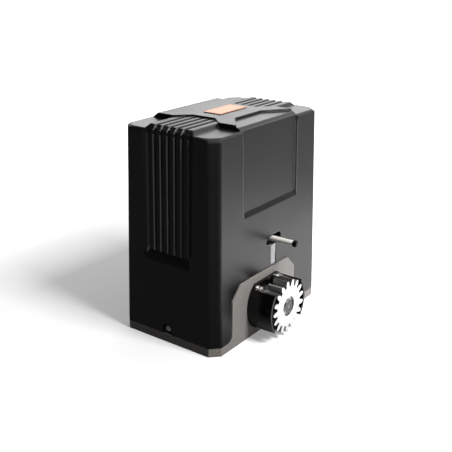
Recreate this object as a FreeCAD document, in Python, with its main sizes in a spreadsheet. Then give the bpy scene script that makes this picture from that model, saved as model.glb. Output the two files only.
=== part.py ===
"""Sliding gate motor: a moulded cover over a cast base with a worm gearbox, an upright motor,
a drive pinion in its guard and a swinging limit rod.

Origin: centre of the base's underside. +Z is up, the pinion faces -Y, the ribbed ends face +X and -X.
Every length is in millimetres.
"""
import FreeCAD, Part
import math
import os

import Sketcher

V = FreeCAD.Vector
TURN = FreeCAD.Rotation

# --------------------------------------------------------------------------------------------
# Driving dimensions
# --------------------------------------------------------------------------------------------
SIZES = {
    # base and cover
    "base_length": (260, "length of the base along X"),
    "base_width": (163, "width of the base along Y"),
    "base_height": (12, "thickness of the base plate"),
    "corner_cut": (12, "45 degree cut on each upright corner"),
    "base_relief": (7, "depth of the casting's underside pockets"),
    "relief_rib": (12, "width of the ribs between those pockets"),
    "wall": (3, "wall of the moulded cover"),
    "side_top": (287.4, "height where the cover's side walls end"),
    "side_taper": (5.9, "how far each side wall leans in over its height"),
    "edge_bevel": (2.9, "45 degree bevel round the cover's top edge"),
    "plateau_length": (132, "length of the raised top"),
    "plateau_width": (126, "width of the raised top at its upper edges"),
    "plateau_rise": (6.7, "height of the raised top over the shelf"),
    "plateau_margin": (0.7, "shelf left in front of and behind the raised top"),
    "step_depth": (3, "depth of the sunk front of the raised top"),
    "step_length": (62, "length of its back edge"),
    "step_back": (38, "distance of its back edge from the middle"),
    "step_reach": (65, "distance from the middle where its slanted sides end"),
    "notch_start": (47, "distance from the middle where a rib notch begins"),
    "notch_inner": (36, "width of a rib notch at that place"),
    "notch_outer": (76, "width of a rib notch at the raised top's end"),
    # ribbed ends
    "recess_width": (84, "width of an end recess at the face"),
    "recess_depth": (6.5, "depth of an end recess, also the run of its slanted sides"),
    "recess_bottom": (114, "height of the recess's lower edge"),
    "recess_rise": (12, "height of its slanted lower wall"),
    "recess_round": (10, "radius of its two lower corners"),
    "rib_number": (6, "ribs on each end"),
    "rib_pitch": (11.3, "distance from rib to rib"),
    "rib_width": (7.5, "width of a rib"),
    "rib_sunk": (3.9, "how far a rib's face lies behind the end face"),
    "rib_lift": (4.7, "height of the ribs over the shelf"),
    "rib_bevel": (6.5, "bevel where a rib turns down"),
    "rib_foot": (127, "height of the ribs' lower ends"),
    "rib_chamfer": (1.3, "45 degree bevel on both long edges of a rib"),
    "block_slope": (4.7, "run of the slanted flank beside the outermost ribs"),
    "block_flat": (2, "flat beside the outermost ribs"),
    # front and rear panels, slot and screw pockets of the cover
    "panel_length": (132, "length of the sunk panel"),
    "panel_depth": (2.5, "depth of the sunk panel"),
    "panel_bottom": (175, "height of its lower edge"),
    "panel_slope": (8, "height of its slanted lower wall"),
    "panel_round": (4, "radius of its two lower corners"),
    "slot_length": (38, "length of the slot that the limit rod swings in"),
    "slot_height": (13, "height of that slot"),
    "stem_width": (12.3, "width of the stem slot below it"),
    "plate_gap": (0.6, "gap between cover and front plate"),
    "pocket_width": (16, "width of a cover screw's pocket"),
    "pocket_depth": (3.5, "depth of a cover screw's pocket"),
    "cover_screw_height": (19.7, "height of the cover screws"),
    "cover_screw_diameter": (5, "thread of the cover screws"),
    "cover_screw_head": (8.6, "head of the cover screws"),
    "lug_depth": (13, "depth of the lug that a cover screw bites in"),
    "lug_width": (20, "width of that lug"),
    # front plate
    "plate_width": (155.2, "width of the front plate"),
    "plate_top": (87.7, "height of the front plate"),
    "plate_corner": (19, "45 degree cut on its upper corners"),
    "plate_depth": (12, "thickness of the front plate"),
    "plate_fillet": (8, "fillet between the front plate's ends and the base"),
    # output side
    "output_x": (-15.8, "output axis along X, also the front plate's middle"),
    "output_z": (44.5, "output axis height"),
    "shaft_diameter": (20, "output shaft"),
    "shaft_centre_hole": (5, "centre drilling in the shaft's end"),
    "pinion_front": (120.7, "distance of the pinion's face in front of the origin"),
    "pinion_module": (4, "module of the drive pinion"),
    "pinion_teeth": (17, "teeth of the drive pinion"),
    "pinion_length": (22, "length of its teeth"),
    "pinion_phase": (11.92, "angle of one tooth above +X, in degrees"),
    "pinion_sink": (4, "depth of the recess in its face"),
    "pinion_sink_diameter": (28, "diameter of that recess"),
    "hub_diameter": (40, "hub behind the pinion's teeth"),
    "hub_gap": (1.5, "space between that hub and the guard"),
    "key_width": (6, "key of the pinion and of the worm wheel"),
    "ring_thickness": (1.2, "retaining rings"),
    "ring_lap": (2.6, "how far a retaining ring stands out of its shaft"),
    "ring_opening": (5, "opening of a retaining ring"),
    "seal_diameter": (36, "outside of the output seal"),
    "seal_width": (7, "width of the output seal"),
    "output_bearing_diameter": (42, "6004 bearing, outside"),
    "output_bearing_width": (12, "6004 bearing, width"),
    "bearing_gap": (0.4, "radial gap between a bearing's shields and its inner ring"),
    "bearing_land": (2, "flat face of a bearing's outer ring"),
    "seal_lip": (2.5, "thickness of the output seal round its lip"),
    "tube_wall": (6, "wall of the cast tube round the output shaft"),
    # worm stage
    "wheel_module": (2, "module of the worm wheel"),
    "wheel_teeth": (28, "teeth of the worm wheel"),
    "wheel_width": (16, "width of the worm wheel"),
    "wheel_hub": (36, "hub of the worm wheel"),
    "hub_length": (4, "how far that hub stands out behind the teeth"),
    "mesh_play": (0.35, "play between worm thread and wheel teeth"),
    "worm_diameter": (24, "pitch diameter of the worm"),
    "worm_length": (36, "threaded length of the worm"),
    "chamber_play": (2.5, "space round the worm wheel"),
    "chamber_wall": (9.5, "wall of the wheel chamber"),
    "chamber_back": (30, "rear face of the wheel chamber"),
    "gasket": (0.4, "gasket under the gearbox's rear cover"),
    "rear_cover": (6, "thickness of the gearbox's rear cover"),
    "rear_boss": (5, "bearing boss behind the rear cover"),
    "rear_screws": (5, "screws of the rear cover"),
    "rear_screw_bite": (8, "depth of the tapped holes of those screws"),
    "rear_screw_diameter": (5, "thread of the rear cover's screws"),
    "rear_screw_start": (-20, "angle of the first of those screws above +X, in degrees"),
    "rear_screw_spread": (220, "angle from the first to the last of them, in degrees"),
    "gearbox_top": (96, "height of the gearbox's motor face"),
    "flange_height": (8, "thickness of the motor flange"),
    "casting_bevel": (2, "bevel on turned castings"),
    "motor_y": (6, "motor axis along Y"),
    "tower_wall": (5.5, "wall of the worm's tower"),
    "lower_bearing_bore": (10, "6000 bearing, bore"),
    "lower_bearing_diameter": (26, "6000 bearing, outside"),
    "lower_bearing_width": (8, "6000 bearing, width"),
    "lower_bearing_foot": (14, "height of the worm's lower bearing"),
    "upper_bearing_bore": (15, "6202 bearing, bore"),
    "upper_bearing_diameter": (35, "6202 bearing, outside"),
    "upper_bearing_width": (11, "6202 bearing, width"),
    "upper_bearing_foot": (76, "height of the worm's upper bearing"),
    "top_bearing_bore": (12, "6201 bearing, bore"),
    "top_bearing_diameter": (32, "6201 bearing, outside"),
    "top_bearing_width": (10, "6201 bearing, width"),
    # motor
    "stator_side": (94, "side of the square stator core"),
    "stator_cut": (8, "corner cut of the stator core"),
    "stator_length": (80, "length of the stator core"),
    "rotor_diameter": (56, "diameter of the rotor"),
    "air_gap": (0.4, "gap between rotor and stator"),
    "shield_height": (24, "height of an end shield"),
    "shield_floor": (6, "thickness of an end shield's floor"),
    "shield_bore": (86, "inside of an end shield"),
    "winding_height": (14, "height of an end winding"),
    "winding_diameter": (82, "outside of an end winding"),
    "winding_bore": (60, "inside of an end winding"),
    "tie_spacing": (76, "distance between neighbouring tie bolts"),
    "tie_diameter": (5, "thread of the tie bolts"),
    "m5_head": (8.5, "head of an M5 socket screw"),
    "bearing_cap": (3, "wall over the top bearing"),
    # guard
    "guard_side": (66, "side of the guard's flange"),
    "guard_corner": (8, "corner radius of the flange"),
    "guard_flange": (4, "thickness of the flange"),
    "guard_front": (120, "distance of the guard's front edge before the origin"),
    "guard_radius": (44, "outside of the guard's walls"),
    "guard_wall": (3.5, "thickness of the guard's walls"),
    "guard_angle": (39, "half of the angle that each wall spans, in degrees"),
    "guard_screw_spacing": (50, "distance between neighbouring guard screws"),
    "guard_screw_diameter": (6, "thread of the guard screws"),
    "guard_screw_head": (10, "head of the guard screws"),
    "guard_screw_bite": (8, "thread of a guard screw in the casting"),
    "washer_diameter": (12, "washers under the guard screws"),
    "washer_thickness": (1.6, "thickness of those washers"),
    # limit switch
    "rod_x": (6.85, "limit rod's axis along X"),
    "rod_z": (127.15, "limit rod's axis height"),
    "rod_diameter": (8, "limit rod"),
    "rod_front": (116, "distance of the steel rod's end before the origin"),
    "cap_front": (117.5, "distance of its cap's end before the origin"),
    "cap_diameter": (9.6, "rod's end cap"),
    "cap_sleeve": (4.5, "how far the cap reaches back over the rod"),
    "cap_round": (2, "rounding of the cap's end"),
    "pivot_y": (-57, "limit lever's pivot along Y"),
    "pivot_diameter": (6, "pivot pin"),
    "pivot_play": (0.05, "radial play of the lever on its pin"),
    "hub_radius": (9, "radius of the lever's hub"),
    "cam_radius": (12.2, "radius of the cam under the hub"),
    "cam_start": (5.2, "distance in front of the pivot where the cam begins"),
    "cam_height": (6.4, "height of the cam"),
    "snout_length": (15, "length of the hub's rod socket"),
    "snout_width": (14, "width of that socket"),
    "hub_top": (143, "height of the hub's top"),
    "shelf_height": (14, "height of the casting's shelf under the limit bracket"),
    "bracket_foot_depth": (26, "depth of the limit bracket's foot"),
    "bracket_width": (60, "width of the limit bracket"),
    "bracket_front": (74, "distance of the bracket's leg before the origin"),
    "bracket_shelf": (112, "height of the bracket's shelf"),
    "bracket_depth": (32, "depth of the bracket's shelf"),
    "shield_front": (79, "distance of the bracket's slot shield before the origin"),
    "shield_top": (119, "height of the slot shield"),
    "sheet": (2, "thickness of the steel brackets"),
    "switch_distance": (14, "distance of a microswitch from the pivot"),
    "switch_width": (10.3, "microswitch along X"),
    "switch_depth": (20, "microswitch along Y"),
    "switch_height": (6.4, "microswitch along Z"),
    "plunger_diameter": (2.4, "plunger of a microswitch"),
    "plunger_travel": (1.2, "travel of a plunger"),
    "part_play": (0.3, "gap kept round small moving pieces"),
    "switch_screw": (2, "thread of a microswitch's screws"),
    "switch_head": (3.6, "head of those screws"),
    "spring_wire": (1.2, "wire of the centring spring"),
    "spring_turns": (2.5, "turns of the centring spring"),
    "spring_pitch": (1.6, "rise of one turn"),
    "spring_reach": (6, "how far the spring's legs reach behind the hub"),
    "pin_head": (2.2, "how far the pivot pin's head and ring stand out"),
    # control side
    "board_gap": (2.2, "space between the gearbox and the board bracket"),
    "board_bracket_reach": (12, "depth of the board bracket's foot"),
    "board_bracket_top": (240, "height of the board bracket"),
    "board_width": (104, "control board along Y"),
    "board_height": (150, "control board along Z"),
    "board_foot": (82, "height of the control board's lower edge"),
    "board_margin": (7, "distance of the board's screws from its edges"),
    "board_thickness": (1.6, "control board"),
    "spacer_length": (8, "length of the board's spacers"),
    "spacer_diameter": (7, "board spacers"),
    "small_screw": (3, "thread of the small screws"),
    "small_head": (5.5, "head of the small screws"),
    "shelf_screw_bite": (4, "thread of a small screw in the casting's shelf"),
    "foot_screw_bite": (3, "thread of a small screw in the base plate"),
    "hole_reserve": (1, "depth of a tapped hole beyond its screw"),
    "edge_break": (0.5, "smallest bevels and steps"),
    "end_bevel": (0.8, "bevel on shaft and cap ends"),
    "relay_length": (19, "relay along Y and out of the board"),
    "relay_width": (15.5, "relay along Z"),
    "relay_number": (3, "relays in a row"),
    "relay_gap": (4, "space between relays"),
    "terminal_margin": (12, "distance of the terminal block from the board's side edges"),
    "terminal_depth": (12, "terminal block out of the board"),
    "terminal_height": (14, "terminal block along Z"),
    "terminal_number": (8, "wire entries of the terminal block"),
    "terminal_entry": (4, "side of a wire entry"),
    "terminal_rise": (2, "height of the terminal block over the board's edge"),
    "transformer_length": (46, "transformer core along Y"),
    "core_share": (0.6, "share of the coil's depth that the transformer's core fills"),
    "transformer_height": (40, "transformer core along Z"),
    "strap_foot": (11, "length of a foot of the transformer's strap"),
    "coil_gap": (1.25, "space on both sides of the transformer's coil"),
    "capacitor_y": (32, "capacitor along Y"),
    "capacitor_gap": (5.9, "space on both sides of the capacitor's band"),
    "capacitor_height": (92, "height of the run capacitor"),
    "clamp_screw_bite": (6, "depth of the clamp screw's tapped hole"),
    "clamp_screw_offset": (18, "distance of the clamp screw from the capacitor's axis"),
    "clamp_strap": (30, "length of the clamp's strap on the flange"),
    "clamp_ear": (10, "width of the clamp's ear"),
    # holes in the base
    "anchor_end": (30, "distance of the anchor slots from the base's ends"),
    "anchor_side": (19.5, "distance of the anchor slots from the base's long sides"),
    "anchor_width": (11, "width of the anchor slots"),
    "anchor_travel": (14, "adjustment that the anchor slots give"),
    "anchor_pad_x": (18, "solid metal round an anchor slot along X"),
    "anchor_pad_y": (12, "solid metal round an anchor slot along Y"),
    "cable_end": (32, "distance of the cable entry from the base's end"),
    "cable_y": (-20, "cable entry along Y"),
    "cable_hole": (24, "hole for the cable grommet"),
    "cable_bore": (14, "bore of the cable grommet"),
    "grommet_lip": (2, "thickness and overlap of the grommet's lips"),
    # label
    "label_length": (61, "label plate along X"),
    "label_width": (29, "label plate along Y"),
    "label_thickness": (1, "label plate"),
    "label_corner": (1, "corner cut of the label plate"),
    "label_x": (3.5, "label plate's middle along X"),
    "label_y": (2.5, "label plate's middle along Y"),
}

doc = FreeCAD.newDocument("SlidingGateMotor")
sheet = doc.addObject("Spreadsheet::Sheet", "size")
sheet.Label = "Sizes"
for row, (alias, (amount, note)) in enumerate(SIZES.items(), start=1):
    sheet.set(f"A{row}", alias)
    sheet.set(f"B{row}", str(amount))
    sheet.set(f"C{row}", note)
    sheet.setAlias(f"B{row}", alias)
doc.recompute()

# Places that several pieces share, as expressions on the sheet
SHELF = "(size.side_top + size.edge_bevel)"
PLATEAU = f"({SHELF} + size.plateau_rise)"
RIB_TOP = f"({SHELF} + size.rib_lift)"
LEAN = "(size.side_taper / (size.side_top - size.base_height))"
LEAN_ANGLE = f"atan({LEAN})"
FRONT = "(size.base_width / 2)"
MOTOR_X = "(size.output_x + (size.wheel_module * size.wheel_teeth + size.worm_diameter) / 2)"
WHEEL_RADIUS = "(size.wheel_module * (size.wheel_teeth + 2) / 2)"
CHAMBER_RADIUS = f"({WHEEL_RADIUS} + size.chamber_play)"
HOUSING_RADIUS = f"({CHAMBER_RADIUS} + size.chamber_wall)"
WHEEL_BACK = "(size.motor_y + size.wheel_width / 2)"
HUB_BACK = f"({WHEEL_BACK} + size.hub_length)"
REAR_BEARING_BACK = f"({HUB_BACK} + size.output_bearing_width)"
SEAL_FRONT = f"({FRONT} - 2)"
BEARING_FRONT = f"({SEAL_FRONT} - size.seal_width)"
BEARING_BACK = f"({BEARING_FRONT} - size.output_bearing_width)"
TUBE_RADIUS = "(size.output_bearing_diameter / 2 + size.tube_wall)"
UPPER_BEARING_TOP = "(size.upper_bearing_foot + size.upper_bearing_width)"
TOWER_RADIUS = "(size.upper_bearing_diameter / 2 + size.tower_wall)"
STATOR_FOOT = "(size.gearbox_top + size.shield_height)"
STATOR_TOP = f"({STATOR_FOOT} + size.stator_length)"
SHIELD_TOP = f"({STATOR_TOP} + size.shield_height)"
TOP_BEARING_FOOT = f"({SHIELD_TOP} - size.shield_floor)"
TOP_BEARING_TOP = f"({TOP_BEARING_FOOT} + size.top_bearing_width)"
GUARD_FACE = f"({FRONT} + size.guard_flange)"
HUB_START = f"({GUARD_FACE} + size.hub_gap)"
SHELF_TOP = "(size.bracket_shelf + size.sheet)"
HUB_FOOT = f"({SHELF_TOP} + size.part_play)"
BRACKET_X = f"(size.output_x - {HOUSING_RADIUS} - size.board_gap)"
BRACKET_END = f"({BRACKET_X} - size.sheet - size.board_bracket_reach)"
BOARD_X = f"({BRACKET_X} - size.sheet - size.spacer_length)"
BOARD_FACE = f"({BOARD_X} - size.board_thickness)"
BOARD_MIDDLE = "(size.board_foot + size.board_height / 2)"

# --------------------------------------------------------------------------------------------
# Small tools for sketches, PartDesign features and Part booleans
# --------------------------------------------------------------------------------------------
AXIS = {
    "X": TURN(V(0, 1, 0), 90),
    "-X": TURN(V(0, -1, 0), 90),
    "Y": TURN(V(-1, 0, 0), 90),
    "-Y": TURN(V(1, 0, 0), 90),
    "Z": TURN(),
}


def value(name):
    """The number that the sheet holds under this name."""
    return float(getattr(sheet, name))


def number(expression):
    """The number that an expression on the sheet gives."""
    return float(sheet.evalExpression(expression))


def put(thing, at=("0", "0", "0"), axis="Z"):
    """Place a thing at three expressions, with its own Z axis along the named one."""
    thing.Placement = FreeCAD.Placement(V(), AXIS[axis])
    for letter, expression in zip("xyz", at):
        thing.setExpression(f"Placement.Base.{letter}", expression)
    return thing


def new_body(name, at=("0", "0", "0")):
    body = put(doc.addObject("PartDesign::Body", name), at)
    body.Label = name
    return body


def new_sketch(body, plane, rise="0", tilt=None):
    """A sketch on the body's XY, XZ or YZ plane, raised along the plane's normal.

    The normals are +Z, -Y and +X. A tilt leans the sketch's upright back, about its own X axis.
    """
    sketch = body.newObject("Sketcher::SketchObject", f"{body.Name}_sketch")
    planes = {item.Role: item for item in body.Origin.OriginFeatures}
    sketch.AttachmentSupport = [(planes[f"{plane}_Plane"], "")]
    sketch.MapMode = "FlatFace"
    if tilt:
        sketch.AttachmentOffset = FreeCAD.Placement(V(), TURN(V(-1, 0, 0), 1))
        sketch.setExpression("AttachmentOffset.Rotation.Angle", tilt)
    sketch.setExpression("AttachmentOffset.Base.z", rise)
    return sketch


def pin_point(sketch, curve, end, x, y):
    """Hold one point of a curve at two expressions."""
    for kind, expression in (("DistanceX", x), ("DistanceY", y)):
        start = number(expression)
        held = sketch.addConstraint(Sketcher.Constraint(kind, -1, 1, curve, end, start))
        sketch.setExpression(f"Constraints[{held}]", expression)


def outline(sketch, corners, rounds=None, hollow=False):
    """A closed outline through corners given as expressions.

    Its sides are straight, save those listed in rounds by number with a radius: these are quarter
    circles that bulge out or are hollow. An outline with such sides is given anticlockwise.
    """
    rounds = rounds or {}
    first = sketch.GeometryCount
    count = len(corners)
    guess = [V(number(x), number(y), 0) for x, y in corners]
    ends = []
    for i in range(count):
        start, end = guess[i], guess[(i + 1) % count]
        if i in rounds:
            sketch.addGeometry(quarter(start, end, number(rounds[i]), hollow))
        else:
            sketch.addGeometry(Part.LineSegment(start, end))
        ends.append((2, 1) if i in rounds and hollow else (1, 2))
    for i in range(count):
        following = (i + 1) % count
        sketch.addConstraint(Sketcher.Constraint(
            "Coincident", first + i, ends[i][1], first + following, ends[following][0]
        ))
    for i, (x, y) in enumerate(corners):
        pin_point(sketch, first + i, ends[i][0], x, y)
    for i, radius in rounds.items():
        held = sketch.addConstraint(Sketcher.Constraint("Radius", first + i, number(radius)))
        sketch.setExpression(f"Constraints[{held}]", radius)
    return sketch


def quarter(start, end, radius, hollow):
    """Quarter circle between two corners. Its middle lies left of their chord unless it is hollow."""
    middles = [V(start.x, end.y, 0), V(end.x, start.y, 0)]
    is_left = [(end - start).cross(middle - start).z > 0 for middle in middles]
    middle = middles[is_left.index(not hollow)]
    ends = (end, start) if hollow else (start, end)
    angles = [math.atan2(point.y - middle.y, point.x - middle.x) for point in ends]
    return Part.ArcOfCircle(Part.Circle(middle, V(0, 0, 1), radius), *angles)


def circle(sketch, radius, x="0", y="0"):
    middle = V(number(x), number(y), 0)
    curve = sketch.addGeometry(Part.Circle(middle, V(0, 0, 1), number(radius)))
    held = sketch.addConstraint(Sketcher.Constraint("Radius", curve, number(radius)))
    sketch.setExpression(f"Constraints[{held}]", radius)
    pin_point(sketch, curve, 3, x, y)
    return sketch


def slot(sketch, start, end, radius):
    """A round-ended slot between two centres."""
    a = V(number(start[0]), number(start[1]), 0)
    b = V(number(end[0]), number(end[1]), 0)
    r = number(radius)
    angle = math.atan2(b.y - a.y, b.x - a.x)
    side = V(-math.sin(angle), math.cos(angle), 0) * r
    up = V(0, 0, 1)
    half = math.pi / 2
    first = sketch.GeometryCount
    sketch.addGeometry(Part.ArcOfCircle(Part.Circle(a, up, r), angle + half, angle + 3 * half))
    sketch.addGeometry(Part.LineSegment(a - side, b - side))
    sketch.addGeometry(Part.ArcOfCircle(Part.Circle(b, up, r), angle - half, angle + half))
    sketch.addGeometry(Part.LineSegment(b + side, a + side))
    for i in range(4):
        following = first + (i + 1) % 4
        sketch.addConstraint(Sketcher.Constraint("Tangent", first + i, 2, following, 1))
    sketch.addConstraint(Sketcher.Constraint("Equal", first, first + 2))
    held = sketch.addConstraint(Sketcher.Constraint("Radius", first, r))
    sketch.setExpression(f"Constraints[{held}]", radius)
    pin_point(sketch, first, 3, *start)
    pin_point(sketch, first + 2, 3, *end)
    return sketch


def pad(sketch, length, back=False, both=False):
    """Pad along the sketch's normal, against it (back) or half to each side (both)."""
    return extrude("PartDesign::Pad", sketch, length, back, both)


def pocket(sketch, length, forward=False, both=False):
    """Cut against the sketch's normal, along it (forward) or half to each side (both)."""
    return extrude("PartDesign::Pocket", sketch, length, forward, both)


def extrude(kind, sketch, length, reverse, both):
    body = sketch.getParentGeoFeatureGroup()
    feature = body.newObject(kind, kind.split("::")[1].lower())
    feature.Profile = sketch
    feature.setExpression("Length", length)
    feature.Reversed = reverse
    if both:
        feature.SideType = "Symmetric"
    sketch.Visibility = False
    return feature


def loft(kind, sketches):
    body = sketches[0].getParentGeoFeatureGroup()
    feature = body.newObject(f"PartDesign::{kind}Loft", "loft")
    feature.Profile = sketches[0]
    feature.Sections = sketches[1:]
    feature.Ruled = True
    return feature


def turned(name, profile, at=("0", "0", "0"), axis="Z", rounds=None):
    """A turned piece: its profile's corners are (radius, place along the axis)."""
    body = put(new_body(name), at, axis)
    sketch = outline(new_sketch(body, "XZ"), profile, rounds)
    feature = body.newObject("PartDesign::Revolution", "revolution")
    feature.Profile = sketch
    feature.ReferenceAxis = (sketch, ["V_Axis"])
    feature.Angle = 360
    return body


def cylinder(name, radius, length, at, axis="Z"):
    thing = put(doc.addObject("Part::Cylinder", name), at, axis)
    thing.setExpression("Radius", radius)
    thing.setExpression("Height", length)
    return thing


def box(name, sides, at):
    """A box by its three sides and the middle of its underside."""
    thing = doc.addObject("Part::Box", name)
    for prop, expression in zip(("Length", "Width", "Height"), sides):
        thing.setExpression(prop, expression)
    corner = (f"({at[0]}) - ({sides[0]}) / 2", f"({at[1]}) - ({sides[1]}) / 2", at[2])
    return put(thing, corner)


def join(name, things):
    fused = doc.addObject("Part::MultiFuse", name)
    fused.Shapes = things
    fused.Refine = True
    return fused


def cut(name, base, tools):
    """The base less one or more tools."""
    tool = tools[0] if len(tools) == 1 else join(f"{name}_tools", tools)
    result = doc.addObject("Part::Cut", name)
    result.Base = base
    result.Tool = tool
    return result


def group(name, things):
    """Several separate solids that share a node."""
    result = doc.addObject("Part::Compound", name)
    result.Links = things
    return result


def cut_rectangle(length, width, corner, x="0", y="0"):
    """Corners of a rectangle about (x, y) with its corners cut at 45 degrees."""
    right, top = f"({length}) / 2", f"({width}) / 2"
    corners = []
    for sx, sy, order in (("", "", 1), ("-", "", -1), ("-", "-", 1), ("", "-", -1)):
        on_side = (f"{x} + {sx or '+'}({right})", f"{y} + {sy or '+'}({top} - {corner})")
        on_end = (f"{x} + {sx or '+'}({right} - {corner})", f"{y} + {sy or '+'}({top})")
        corners += [on_side, on_end][::order]
    return [(tidy(a), tidy(b)) for a, b in corners]


def tidy(expression):
    """FreeCAD reads neither '+ +' nor '+ -'."""
    return expression.replace("+ +", "+ ").replace("+ -", "- ")


def rectangle(x1, y1, x2, y2):
    return [(x1, y1), (x2, y1), (x2, y2), (x1, y2)]


NODES = []


def node(thing, name=None):
    """Hand a finished piece to the export, under its own label."""
    if name:
        thing.Label = name
    NODES.append(thing)
    return thing


# --------------------------------------------------------------------------------------------
# Base casting with the gearbox's body
# --------------------------------------------------------------------------------------------
OUTPUT = ("size.output_x", "0", "size.output_z")
MOTOR = (MOTOR_X, "size.motor_y", "0")
CHAMBER_FRONT = "(size.motor_y - size.wheel_width / 2 - 2 * size.chamber_play)"
LUG_FACE = "(size.base_length / 2 - size.pocket_depth - size.wall)"
LUG_TOP = "(size.cover_screw_height + size.lug_width / 2)"
ANCHOR_X = "(size.base_length / 2 - size.anchor_end)"
ANCHOR_Y = "(size.base_width / 2 - size.anchor_side)"
CABLE_X = "(size.base_length / 2 - size.cable_end)"
LUG_BACK = f"({LUG_FACE} - size.lug_depth)"
COIL_DEPTH = f"({LUG_BACK} + {BRACKET_END} - 2 * size.coil_gap)"
CORE_DEPTH = f"({COIL_DEPTH} * size.core_share)"
TRANSFORMER_X = f"(({BRACKET_END} - {LUG_BACK}) / 2)"
REAR_SCREW_CIRCLE = f"({CHAMBER_RADIUS} + size.chamber_wall / 2)"
CORNERS = [(1, 1), (-1, 1), (-1, -1), (1, -1)]
# how much a 45 degree corner cut grows when its outline grows by 1
CORNER_GROWTH = round(math.tan(math.radians(22.5)), 4)
CLAMP_FACE = f"({MOTOR_X} + size.stator_side / 2)"
CAPACITOR_ROOM = f"(size.base_length / 2 - size.wall - {CLAMP_FACE})"
CAPACITOR_X = f"({CLAMP_FACE} + {CAPACITOR_ROOM} / 2)"
CAPACITOR_RADIUS = f"({CAPACITOR_ROOM} / 2 - size.sheet - size.capacitor_gap)"
CLAMP_SCREW = (
    f"{CLAMP_FACE} + size.sheet",
    "size.capacitor_y - size.clamp_screw_offset",
    "size.gearbox_top - size.flange_height / 2",
)


def draw_plate(sketch, gap="0"):
    """Front plate with cut upper corners and a filleted foot, grown by a gap on its free sides."""
    left = f"size.output_x - size.plate_width / 2 - {gap}"
    right = f"size.output_x + size.plate_width / 2 + {gap}"
    top = f"size.plate_top + {gap}"
    corner = f"(size.plate_corner + {CORNER_GROWTH} * {gap})"
    fillet = f"(size.plate_fillet - {gap})"
    foot = "size.base_height / 2"
    fillet_top = "size.base_height + size.plate_fillet"
    return outline(sketch, [
        (f"{left} - {fillet}", foot),
        (f"{right} + {fillet}", foot),
        (f"{right} + {fillet}", f"size.base_height + {gap}"),
        (right, fillet_top),
        (right, f"{top} - {corner}"),
        (f"{right} - {corner}", top),
        (f"{left} + {corner}", top),
        (left, f"{top} - {corner}"),
        (left, fillet_top),
        (f"{left} - {fillet}", f"size.base_height + {gap}"),
    ], {2: fillet, 8: fillet}, hollow=True)


def rear_screw_places():
    """Rear cover's screws, spread over its upper side."""
    count = int(value("rear_screws"))
    for i in range(count):
        angle = value("rear_screw_start") + value("rear_screw_spread") * i / (count - 1)
        yield (
            f"size.output_x + {REAR_SCREW_CIRCLE} * cos({angle} deg)",
            f"size.output_z + {REAR_SCREW_CIRCLE} * sin({angle} deg)",
        )


def guard_screw_places():
    for sx, sz in CORNERS:
        yield (
            f"size.output_x + {sx} * size.guard_screw_spacing / 2",
            f"size.output_z + {sz} * size.guard_screw_spacing / 2",
        )


def tie_places():
    for sx, sy in CORNERS:
        yield (
            f"{MOTOR_X} + {sx} * size.tie_spacing / 2",
            f"size.motor_y + {sy} * size.tie_spacing / 2",
        )


def bracket_screw_places():
    for side in (1, -1):
        yield (
            f"size.rod_x + {side} * size.bracket_width / 3",
            "size.sheet - size.bracket_front + size.bracket_foot_depth / 2",
        )


def board_screw_places():
    for side in (1, -1):
        yield (
            f"{BRACKET_END} + size.board_bracket_reach / 2",
            f"{side} * size.board_width / 3",
        )


def transformer_screw_places():
    for side in (1, -1):
        yield (TRANSFORMER_X, f"{side} * (size.transformer_length + size.strap_foot) / 2")


def tapped_holes(body, plane, rise, places, diameter, depth):
    sketch = new_sketch(body, plane, rise)
    for x, y in places:
        circle(sketch, f"{diameter} / 2", x, y)
    pocket(sketch, depth)


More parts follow.
